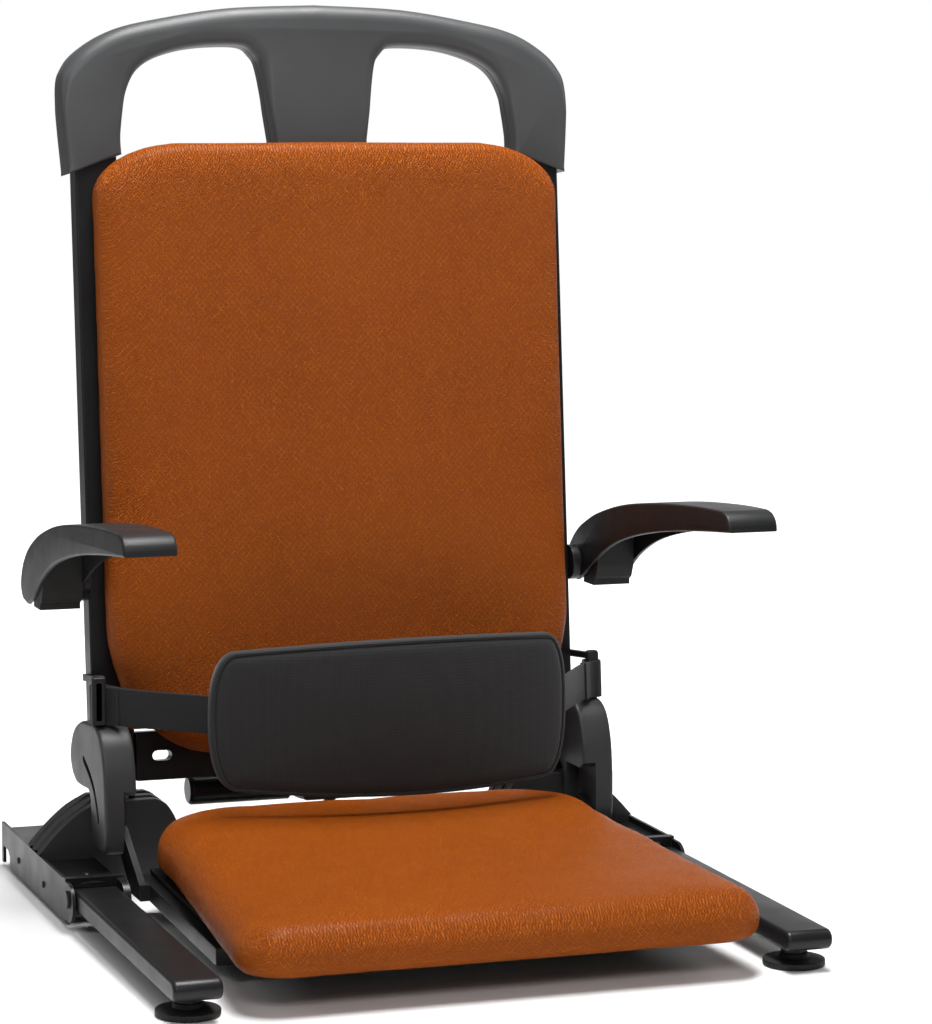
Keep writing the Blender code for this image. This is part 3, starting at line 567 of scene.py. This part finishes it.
def both(make):
    for side_name, side in SIDES.items():
        make(side_name, side)


# Padded leather and belt


def remeshed(piece, voxel):
    remesh = piece.modifiers.new("even_faces", "REMESH")
    remesh.mode = "VOXEL"
    remesh.voxel_size = voxel


def evened(piece, passes):
    smooth = piece.modifiers.new("even_surface", "SMOOTH")
    smooth.factor = 0.5
    smooth.iterations = passes


def inflate(piece, point, normal):
    """Swells a closed shape under pressure, as foam does its cover, and leaves it flat on its board.

    The board is given by a point on its face and the way into it."""
    remeshed(piece, CUSHION_VOXEL)
    settle(piece)
    start = [vertex.co.copy() for vertex in piece.data.vertices]
    cloth = piece.modifiers.new("cloth", "CLOTH")
    cloth.settings.use_pressure = True
    cloth.settings.uniform_pressure_force = 4
    cloth.settings.effector_weights.gravity = 0
    for step in range(1, 21):
        bpy.context.scene.frame_set(step)
    settle(piece)
    bpy.context.scene.frame_set(1)
    for vertex, origin in zip(piece.data.vertices, start):
        move = vertex.co - origin
        if move.length > CUSHION_SWELL:
            vertex.co = origin + move.normalized() * CUSHION_SWELL
    evened(piece, 6)
    settle(piece)
    for vertex in piece.data.vertices:
        beyond = (vertex.co - point).dot(normal)
        if beyond > 0:
            vertex.co -= normal * beyond
    finer = piece.modifiers.new("finer", "SUBSURF")
    finer.levels = finer.render_levels = 1
    settle(piece)
    piece.data.shade_smooth()
    piece.data.materials.clear()
    piece.data.materials.append(PAINTS["leather"][0])


def board_face(place, point, normal):
    return place @ Vector(point), (place.to_3x3() @ Vector(normal)).normalized()


def backrest():
    """The backrest's leather cushion, crowned in front and flat behind."""
    low, high = BACKREST_Z
    bottom = arc((BACKREST_HALF - 0.100, low + 0.125), (0.100, 0.125), -90, 0, 20)
    top = arc((BACKREST_HALF - 0.085, high - 0.050), (0.085, 0.050), 0, 90, 16)
    outline = mirrored([(0.0, low - 0.002), *bottom, *top, (0.0, high + 0.001)])
    front, back = BACKREST_Y
    slim, edge = 0.0022, 0.0125
    layers = edge_layers(front + 0.0030, back, edge, 6)
    layers = [(slim + amount, w) for amount, w in layers[:7]] + [(slim, back - 0.006), (0.0040, back)]
    crown = [(0.0700, front + 0.0006), (0.0330, front + 0.0014)]
    piece = piece_of("backrest_padding", layered(bmesh.new(), spread(outline, 0.008), "Y", [*crown, *layers]),
                     "leather", CARRIAGE)
    inflate(piece, *board_face(CARRIAGE, (0, back, 0), (0, 1, 0)))
    stand_for(piece, "backrest_cushion")


def seat_underside(y):
    return 0.0290 + BOARD_SLOPE * (y - SEAT_FRONT_Y)


def seat_top(y):
    return 0.0700 + 0.0480 * (y - SEAT_FRONT_Y)


def seat():
    """The seat's leather cushion, thicker at the back, flat on its board."""
    front = arc((SEAT_HALF_FRONT - 0.040, SEAT_FRONT_Y + 0.038), (0.040, 0.038), -90, 0, 12)
    rear = arc((SEAT_HALF_REAR - 0.080, SEAT_REAR_Y - 0.066), (0.080, 0.066), 0, 90, 14)
    outline = spread(mirrored([(0.0, SEAT_FRONT_Y), *front, (SEAT_HALF_REAR, 0.2700), *rear,
                               (0.0, SEAT_REAR_Y)]), 0.008)
    slim, edge, widest = 0.0018, 0.0230, 0.36
    layers = [(slim + 0.0065, 0.0), (slim + 0.0028, 0.08), (slim + 0.0008, 0.20)]
    layers += [(slim + edge * (1 - cos(radians(10 * i))), widest + (0.975 - widest) * sin(radians(10 * i)))
               for i in range(10)]
    layers += [(0.0420, 1.000), (0.0780, 1.022)]
    rings = [[(x, y, seat_underside(y) + share * (seat_top(y) - 0.0025 - seat_underside(y)))
              for x, y in inset(outline, amount)] for amount, share in layers]
    piece = piece_of("seat_padding", add_rings(bmesh.new(), rings), "leather")
    front_edge = (0, SEAT_FRONT_Y, seat_underside(SEAT_FRONT_Y))
    inflate(piece, *board_face(ASSEMBLY, front_edge, (0, BOARD_SLOPE, -1)))
    stand_for(piece, "seat_cushion")


def pad_outline():
    """The belt pad from the front: slightly arched above and below, with strongly curved ends."""
    def half(x):
        u = x / PAD_HALF
        return 0.0700 - 0.0080 * u * u - 0.0020 * (1 - u)
    straight = PAD_HALF - PAD_END
    top = [(straight * (i / 20 - 1), half(straight * (i / 20 - 1))) for i in range(41)]
    ends = {}
    for side in (-1, 1):
        turns = [radians(90 * i / 14) for i in range(1, 15)]
        upper = [(side * (straight + PAD_END * sin(t) ** 0.8), max(cos(t), 0.0) ** 0.8) for t in turns]
        ends[side] = [(x, share * half(x)) for x, share in upper]
    right = [*ends[1], *[(x, -z) for x, z in reversed(ends[1][:-1])]]
    left = [*[(x, -z) for x, z in ends[-1]], *reversed(ends[-1][:-1])]
    return [*top, *right, *[(x, -z) for x, z in reversed(top)], *left]


def bow(point):
    """Bends the flat pad so that its ends lie nearer the backrest."""
    x, y, z = point
    return PAD_X + x, PAD_FRONT_Y + y + PAD_BOW * (x / PAD_HALF) ** 2, PAD_MIDDLE_Z + z


def belt_pad():
    """A foam pad with a crowned front panel inside a sewn welt."""
    outline = pad_outline()
    welt = [(0.0030, PAD_THICK), (0.0008, PAD_THICK - 0.0006), (0, PAD_THICK - 0.0020), (0, 0.0022),
            (0.0006, 0.0009), (0.0018, 0.0002), (0.0030, 0.0004), (0.0036, 0.0016), (0.0042, 0.0018),
            (0.0048, 0.0008), (0.0062, -0.0002), (0.0100, -0.0012)]
    rings = [[bow((a, w, b)) for a, b in inset(outline, amount)] for amount, w in welt]
    panel = inset(outline, 0.0100)
    for k in range(1, 15):
        share = 1 - k / 15
        rise = -0.0012 - 0.0022 * (1 - share**2)
        rings.append([bow((a * share, rise, b * share)) for a, b in panel])
    backing = [[bow((a * share, PAD_THICK + 0.0002, b * share)) for a, b in inset(outline, 0.0030)]
               for share in (0.03, 0.2, 0.4, 0.6, 0.8)]
    piece = piece_of("belt_padding", add_rings(bmesh.new(), [*backing, *rings]), "pad")
    stand_for(piece, "belt_pad")
    flatten(piece)


def flatten(piece):
    """Gives a belt piece its own copy of its mesh."""
    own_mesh(piece)


def ribbon(name, path, tilts):
    """A woven band on edge along a path of (x, y) points, each with its tilt, with soft selvedges."""
    points = [Vector(p) for p in path]
    middle, half = sum(STRAP_Z) / 2, (STRAP_Z[1] - STRAP_Z[0]) / 2
    section = [(-half, 0.35), (-half * 0.97, 0.85), (-half * 0.90, 1), (0, 1), (half * 0.90, 1),
               (half * 0.97, 0.85), (half, 0.35)]
    section += [(z, -w) for z, w in reversed(section)]
    rings = []
    for point, run, tilt in zip(points, directions(points), tilts):
        out = Vector((run.y, -run.x))
        rings.append([(point.x + out.x * w * STRAP_THICK / 2,
                       point.y + out.y * w * STRAP_THICK / 2 + z * tilt, middle + z) for z, w in section])
    return piece_of(name, add_rings(bmesh.new(), rings), "webbing")


def strap(side_name, side):
    """The webbing from behind the pad to its post, and the loop round the post."""
    back = PAD_FRONT_Y + PAD_THICK + 0.0016
    shift = side * PAD_X
    hidden = [(x + shift, back + PAD_BOW * (x / PAD_HALF) ** 2) for x in (0.1180, 0.1320, 0.1460, 0.1570)]
    run = smooth_path([*hidden, (0.1665 + shift, 0.3195), (0.2010, 0.3570), (0.2205, 0.3812)], 6)
    tilts = [LOOP_TILT * max(0.0, (x - 0.165) / 0.0555) for x, y in run]
    webbing = ribbon("belt_webbing_" + side_name, [(side * x, y) for x, y in run], tilts)
    flatten(stand_for(webbing, "belt_strap_" + side_name))
    loop = smooth_path([(0.2165, 0.3730), (0.2191, 0.3762), (0.2232, 0.3807), (0.2278, 0.3833),
                        (0.2325, 0.3838), (0.2355, 0.3859), (0.2364, 0.3902), (0.2356, 0.3946),
                        (0.2320, 0.3967), (0.2262, 0.3967), (0.2224, 0.3946), (0.2206, 0.3888),
                        (0.2159, 0.3790), (0.2133, 0.3758)], 6)
    webbing = ribbon("belt_loop_" + side_name, [(side * x, y) for x, y in loop], [LOOP_TILT] * len(loop))
    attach(webbing, "carriage")


# Mouldings


def handle():
    """The moulded arch, round along its top, with flat legs, a centre post and a parting groove."""
    outer = smooth_path([(0.2320, 0.6340), (0.2363, 0.7050), (0.2300, 0.7300), (0.2125, 0.7475),
                         (0.1850, 0.7620), (0.1450, 0.7715), (0.0800, 0.7815), (0.0, 0.7850)], 10)
    opening = smooth_path([(0.0430, 0.6640), (0.0520, 0.7230), (0.0590, 0.7400), (0.0740, 0.7480),
                           (0.1220, 0.7450), (0.1600, 0.7310), (0.1770, 0.7080), (0.1838, 0.6720),
                           (0.1838, 0.6510)], 10)
    right = [(0.0400, 0.5706), *opening, *outer[:-1]]
    outline = spread([*right, (0.0, 0.7850), *[(-x, z) for x, z in reversed(right)]], 0.006)

    def corner(point):
        """How large the edge's rounding is: large round the hand openings, small on the legs."""
        x, z = abs(point[0]), point[1]
        lift = min(1.0, max(0.0, (z - 0.690) / 0.045))
        if z < 0.5710 or z < 0.6345 + (0.2320 - x) * 0.36 and x > 0.18:
            return 0.0022
        return 0.0040 + (0.0075 if x < 0.19 and z < 0.752 else 0.0100) * lift
    radii = [corner(p) for p in outline]
    back_radii = [min(r, 0.0060) for r in radii]
    front, back = HANDLE_Y
    groove_y, groove = front + 0.0180, 0.0009
    depths = [(1 - sin(radians(15 * i)), 1 - cos(radians(15 * i))) for i in range(7)]
    rings = []
    for amount, sink in depths:
        rings.append([(a, front + sink * r, b) for (a, b), r
                      in zip(inset(outline, [amount * r for r in radii]), radii)])
    for amount, y in ((0, groove_y - groove), (groove, groove_y), (0, groove_y + groove)):
        rings.append([(a, y, b) for a, b in inset(outline, amount)])
    for amount, sink in reversed(depths):
        rings.append([(a, back - sink * r, b) for (a, b), r
                      in zip(inset(outline, [amount * r for r in back_radii]), back_radii)])
    piece = piece_of("handle_moulding", add_rings(bmesh.new(), rings), "plastic", CARRIAGE)
    cutters = [prism("board_room", rectangle((-0.07, 0.07), (-0.01, GAP)), "Z", (0.55, 0.6365), "plastic",
                     CARRIAGE)]
    for side_name, side in SIDES.items():
        x0, x1 = span(side, UPRIGHT_X)
        socket = rectangle((x0 - GAP, x1 + GAP), (-GAP, UPRIGHT_DEPTH + GAP))
        cutters.append(prism("socket_" + side_name, socket, "Z", (0.60, UPRIGHT_TOP + GAP), "plastic",
                             CARRIAGE))
    stand_for(smoothed(carve(piece, *cutters), 42), "handle")


def armrest(side_name, side):
    """A curved shell, round along its top edges and open below."""
    tip = [(0.0982, 0.3450), (0.0990, 0.3488), (0.1015, 0.3530), (0.1060, 0.3566), (0.1125, 0.3587),
           (0.1240, 0.3593)]
    top = [*tip, (0.1750, 0.3570), (0.2580, 0.3500), (0.3360, 0.3395), (0.3940, 0.3262), (0.4250, 0.3155),
           (0.4480, 0.3045), (0.4660, 0.2895), (0.4740, 0.2735), (0.4710, 0.2640), (0.4640, 0.2590)]
    under = [(0.4480, 0.2570), (0.4250, 0.2670), (0.3900, 0.2880), (0.3400, 0.3070), (0.2650, 0.3230),
             (0.1760, 0.3350), (0.0980, 0.3430)]
    outline = spread([*smooth_path(top, 6), *smooth_path(under, 6)], 0.008)
    shell = plate("armrest_moulding_" + side_name, outline, "X", span(side, ARM_X), 0.0022, "dark_plastic",
                  4)
    roof = smooth_path([(0.1180, 0.3520), (0.1750, 0.3500), (0.2580, 0.3430), (0.3340, 0.3330),
                        (0.3910, 0.3190), (0.4340, 0.2985), (0.4610, 0.2760), (0.4630, 0.2400)], 6)
    thick = 0.0040
    pocket = prism("pocket", [*roof, (0.1180, 0.2400)], "X", span(side, (ARM_X[0] + thick, ARM_X[1] - thick)),
                   "dark_plastic")
    pin_y = CARRIAGE_Y + ARM_PIVOT[0] * cos(RECLINE) + ARM_PIVOT[1] * sin(RECLINE)
    pin_z = ARM_PIVOT[1] * cos(RECLINE) - ARM_PIVOT[0] * sin(RECLINE)
    hole = prism("hole", arc((pin_y, pin_z), (0.0056, 0.0056), 0, 345, 23), "X", span(side, (0.22, 0.2450)),
                 "dark_plastic")
    carve(shell, pocket, hole)
    stand_for(smoothed(shell, 42), "armrest_" + side_name)
    refined("armrest_hub_" + side_name, "rubber", 0.0010)


def band(path, half):
    """The outline of a stripe with round ends along a path."""
    points = [Vector(p) for p in path]
    runs = directions(points)
    right = [p + Vector((d.y, -d.x)) * half for p, d in zip(points, runs)]
    left = [p - Vector((d.y, -d.x)) * half for p, d in zip(points, runs)]
    outline = [tuple(p) for p in right]
    for turn in (-60, -30, 0, 30, 60):
        outline.append(tuple(points[-1] + Matrix.Rotation(radians(turn), 2) @ runs[-1] * half))
    outline += [tuple(p) for p in reversed(left)]
    for turn in (-60, -30, 0, 30, 60):
        outline.append(tuple(points[0] - Matrix.Rotation(radians(turn), 2) @ runs[0] * half))
    return outline


def melted(piece, voxel, passes):
    """Rounds every edge of a solid by even smoothing."""
    remeshed(piece, voxel)
    evened(piece, passes)
    material = piece.data.materials[0]
    settle(piece)
    piece.data.materials.clear()
    piece.data.materials.append(material)


def hinge_cover(side_name, side):
    """A hooked moulding with soft edges, the seat's hinge in its front and a curved slit through it."""
    front = smooth_path([(0.3660, 0.0485), (0.3540, 0.0500), (0.3487, 0.0600), (0.3486, 0.0780),
                         (0.3498, 0.1000), (0.3545, 0.1260), (0.3660, 0.1480), (0.3850, 0.1570),
                         (0.4120, 0.1560), (0.4400, 0.1520), (0.4660, 0.1400), (0.4795, 0.1200),
                         (0.4740, 0.1030), (0.4580, 0.0945), (0.4380, 0.0945), (0.4120, 0.0960)], 6)
    stem = smooth_path([(0.4040, 0.0900), (0.4020, 0.0700), (0.3995, 0.0560), (0.3900, 0.0485)], 6)
    cover = prism("hinge_moulding_" + side_name, [*front, *stem], "X", span(side, HINGE_COVER_X),
                  "grey_plastic")
    melted(cover, 0.0013, 16)
    notch_outline = [(0.33, 0.04), (0.3925, 0.04), (0.3925, 0.0990), (0.3600, 0.0990), (0.3480, 0.1060),
                     (0.33, 0.1060)]
    notch = prism("notch", notch_outline, "X", span(side, (0.20, 0.2180)), "grey_plastic")
    crease = smooth_path([(0.4270, 0.1205), (0.4060, 0.1118), (0.3890, 0.1005), (0.3775, 0.0850),
                          (0.3735, 0.0760)], 6)
    slit = prism("slit", band(crease, 0.0032), "X", span(side, (0.2215, 0.25)), "grey_plastic")
    relief = prism("relief", rectangle(span(side, (0.19, UPRIGHT_X[1] + GAP)), (-0.0006, 0.10)), "Z",
                   (0.08, 0.20), "grey_plastic", CARRIAGE)
    carve(cover, notch, slit, relief)
    stand_for(smoothed(cover, 50), "hinge_cover_" + side_name)


# Fasteners and other details that ride on the frame


def head_place(place, spot, axis):
    """Stands a screw head on a spot, with its top towards the axis."""
    return place @ Matrix.Translation(spot) @ Vector(axis).to_track_quat("Z", "Y").to_matrix().to_4x4()


def add_screw(builder, place, radius):
    """A button head with a hexagon socket."""
    add_turned(builder, [(radius * 0.98, -0.0004), (radius, 0.0), (radius * 0.97, radius * 0.22),
                         (radius * 0.82, radius * 0.46), (radius * 0.60, radius * 0.58)], place, 24)
    add_turned(builder, [(radius * 0.56, radius * 0.585), (radius * 0.50, radius * 0.62),
                         (radius * 0.46, radius * 0.60), (radius * 0.44, radius * 0.20)], place, 24, hexagon)


def screws(name, body, place, spots, paint):
    """Screw heads on one body, as (spot, outward axis, radius)."""
    builder = bmesh.new()
    for spot, axis, radius in spots:
        add_screw(builder, head_place(place, spot, axis), radius)
    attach(piece_of(name, builder, paint, Matrix(), 45), body)


def base_details():
    spots = []
    for side in SIDES.values():
        spots += [((side * 0.2789, y, 0.0185), (side, 0, 0), 0.0030) for y in (0.3940, 0.4940)]
        spots += [((side * 0.1500, y, 0.0300), (-side, 0, 0), 0.0034) for y in (0.4230, 0.4490)]
        spots += [((side * 0.2520, y, 0.0341), (0, 0, 1), 0.0036) for y in (0.3480, 0.5150)]
    spots += [((x, 0.4180, 0.0270), (0, -1, 0), 0.0034) for x in (-0.120, -0.040, 0.040, 0.120)]
    screws("base_screws", "base", ASSEMBLY, spots, "paint")


def carriage_details():
    spots = []
    for side in SIDES.values():
        rows = (  # x, y, heights, radius
            (side * 0.1780, 0.0142, (0.1100, 0.1300, 0.5400, 0.5600), 0.0036),  # the crossbars
            (side * 0.2070, 0.0300, (0.6480, 0.6900), 0.0042),  # the handle's legs
            (side * 0.0250, 0.0300, (0.6000,), 0.0042),  # and its centre post
            (side * 0.2080, 0.0220, (0.2250, 0.4200), 0.0036),  # the uprights
            (side * 0.0235, 0.0520, (0.0800, 0.1400), 0.0030),  # the gearbox
            (0.0950 + side * 0.0430, 0.0300, (0.2070, 0.2930), 0.0026),  # the control box
        )
        spots += [((x, y, z), (0, 1, 0), radius) for x, y, heights, radius in rows for z in heights]
    screws("carriage_screws", "carriage", CARRIAGE, spots, "zinc")


def vents():
    """Louvres on the control box, in two columns."""
    builder = bmesh.new()
    for column in (0.0730, 0.1170):
        for i in range(9):
            z = 0.2300 + 0.0052 * i
            layered(builder, rounded((column - 0.0150, column + 0.0150), (z, z + 0.0026), 0.0012, 4), "Y",
                    [(0.0, 0.0295), (0.0, 0.0304), (0.0004, 0.0309), (0.0009, 0.0309)])
    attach(piece_of("control_box_louvres", builder, "plastic", CARRIAGE, 45), "carriage")


def threaded_screw():
    """The lifting screw with a round-crested thread."""
    low, high = SCREW_Z
    radius, segments = 0.0060, 20
    rings = []
    for row in range(int((high - low) / (THREAD_PITCH / 4)) + 1):
        z = low + row * THREAD_PITCH / 4
        ring = []
        for i in range(segments):
            a = 2 * pi * i / segments
            r = radius - THREAD_DEPTH * (0.5 - 0.5 * cos(2 * pi * (z / THREAD_PITCH - i / segments)))
            ring.append((r * cos(a), SCREW_Y + r * sin(a), z))
        rings.append(ring)
    stand_for(piece_of("lifting_screw", add_rings(bmesh.new(), rings), "zinc", CARRIAGE, 60), "lead_screw")


def foot(side_name, side):
    """A levelling foot: a pad ribbed round its edge, a hexagon lock nut and a threaded stem."""
    middle = ASSEMBLY @ Matrix.Translation((side * FOOT_X, 0, 0))
    builder = bmesh.new()
    pad = [(0.0240, 0.0), (0.0250, 0.0004), (0.0256, 0.0012), (0.0257, 0.0046), (0.0253, 0.0052),
           (0.0242, 0.0055), (0.0170, 0.0060), (0.0124, 0.0068), (0.0116, 0.0098), (0.0112, 0.0104)]

    def ribs(height, a):
        return 1 - 0.012 * (0.5 - 0.5 * cos(48 * a)) if 0.0010 < height < 0.0050 else 1.0
    add_turned(builder, pad, middle, 192, ribs)
    nut = [(0.0098, 0.0104), (0.0107, 0.0108), (0.0108, 0.0136), (0.0100, 0.0140)]
    add_turned(builder, nut, middle, 48, hexagon)
    add_turned(builder, [(0.0048, 0.0140), (0.0048, 0.0305), (0.0040, 0.0310)], middle, 24)
    stand_for(piece_of("levelling_foot_" + side_name, builder, "rubber", Matrix(), 40), "foot_" + side_name)


def leg(side_name, side):
    """A flat bar with round edges and ends, drilled for its foot and its pin."""
    y, z = LEG_PIVOT
    half = (LEG_Z[1] - LEG_Z[0]) / 2
    rear = arc((y, z), (half, half), -90, 90, 16)
    nose = arc((LEG_FRONT_Y + half, (LEG_Z[0] + LEG_Z[1]) / 2), (half, half), 90, 270, 16)
    bar = plate("leg_bar_" + side_name, [*rear, *nose], "X", span(side, LEG_X), 0.0034, "paint", 5)
    stem_hole = prism("stem_hole", arc((side * FOOT_X, 0), (0.0053, 0.0053), 0, 345, 23), "Z", (0.0, 0.0312),
                      "paint")
    pin_hole = prism("pin_hole", arc((y, z), (0.0045, 0.0045), 0, 345, 23), "X", span(side, (0.21, 0.30)),
                     "paint")
    carve(bar, stem_hole, pin_hole)
    stand_for(smoothed(bar, 42), "leg_" + side_name)


def button_marks():
    """A raised arrow on each of the handset's buttons."""
    for name, turn in (("up", 1), ("down", -1)):
        tip = ((-0.0042, -0.0022), (0.0042, -0.0022), (0.0, 0.0034))
        arrow = [(BUTTON_X + x, BUTTON_Z[name] + z * turn) for x, z in tip]
        mark = prism("button_mark_" + name, arrow, "Y", (0.0290, 0.0299), "white", CARRIAGE)
        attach(mark, "button_" + name)


def finish_nodes():
    """Every other CAD node keeps its shape and gets rounded edges."""
    def sided(*names):
        return [f"{name}_{side}" for name in names for side in SIDES]
    for node in sided("base_rail", "upright", "seat_rail", "tail", "leg_pin"):
        refined(node, "paint", 0.0007)
    for node in ["rear_cross_tube", "lower_crossbar", "upper_crossbar", "seat_board", "seat_cross_bar",
                 "motor", "screw_guard_tube", *sided("arm_pivot")]:
        refined(node, "paint", 0.0007)
    for node in ["gearbox", "control_box", "power_inlet", "handset_holder", *sided("tower")]:
        refined(node, "grey_plastic", 0.0007)
    for node in sided("belt_post"):
        refined(node, "dark_plastic", 0.0007)
    for node in sided("mast_boot", "rear_foot", "wheel"):
        refined(node, "rubber", 0.0006)
    for node in sided("mast", "seat_pin"):
        refined(node, "zinc", 0.0004)
    refined("back_board", "leather", 0.0012, 3)
    refined("handset", "white", 0.0010, 3)
    refined("button_up", "green", 0.0008, 3)
    refined("button_down", "orange", 0.0008, 3)
    refined("power_switch", "rubber", 0.0006)


# Stage


def add_camera():
    data = bpy.data.cameras.new("camera")
    data.lens = LENS
    data.sensor_width = 36
    camera = bpy.data.objects.new("camera", data)
    turn = (Matrix.Rotation(CAMERA_PAN, 4, "Z") @ Matrix.Rotation(CAMERA_TILT, 4, "X")
            @ Matrix.Rotation(CAMERA_ROLL, 4, "Z"))
    camera.matrix_world = Matrix.Translation(CAMERA_SPOT) @ turn
    bpy.context.scene.collection.objects.link(camera)
    bpy.context.scene.camera = camera


def add_light(name, spot, aim, size, power):
    data = bpy.data.lights.new(name, "AREA")
    data.shape = "RECTANGLE"
    data.size, data.size_y = size
    data.energy = power
    light = bpy.data.objects.new(name, data)
    light.location = spot
    light.rotation_euler = (Vector(aim) - Vector(spot)).to_track_quat("-Z", "Y").to_euler()
    bpy.context.scene.collection.objects.link(light)


def add_stage():
    builder = bmesh.new()
    across_floor = (-FLOOR_REACH, FLOOR_REACH)
    builder.faces.new([builder.verts.new((x, y, -0.0002)) for x, y in rectangle(across_floor, across_floor)])
    mesh = bpy.data.meshes.new("floor")
    builder.to_mesh(mesh)
    builder.free()
    mesh.materials.append(floor_finish())
    floor = bpy.data.objects.new("floor", mesh)
    bpy.context.scene.collection.objects.link(floor)
    world = bpy.data.worlds.new("studio")
    world.use_nodes = True
    tree = world.node_tree
    sky = tree.nodes["Background"]
    facing = add(tree, "TexCoord").outputs["Generated"]
    towards = add(tree, "VectorMath", ((0, facing), (1, (*BACKDROP, 0.0))),
                  operation="DOT_PRODUCT").outputs["Value"]
    tree.links.new(ranged(tree, towards, 0.90, 0.975, ROOM_LIGHT, BACKDROP_LIGHT), sky.inputs["Strength"])
    sky.inputs["Color"].default_value = (1, 1, 1, 1)
    bpy.context.scene.world = world
    bpy.context.scene.view_settings.view_transform = "Standard"
    middle = (0, 0, 0.35)
    add_light("key", (-0.8, -2.5, 1.9), middle, (1.1, 0.8), 22)
    add_light("top", (0.1, -0.06, 2.5), middle, (1.6, 0.8), 108)
    add_light("left_rim", (-1.9, 0.1, 1.5), middle, (0.25, 1.2), 5)
    add_light("right_rim", (1.9, 0.1, 1.5), middle, (0.25, 1.2), 7)


add_camera()
add_stage()
finish_nodes()
handle()
both(armrest)
both(hinge_cover)
both(foot)
both(leg)
both(strap)
belt_pad()
refined("belt_slider", "dark_plastic", 0.0006)
threaded_screw()
base_details()
carriage_details()
vents()
button_marks()
backrest()
seat()
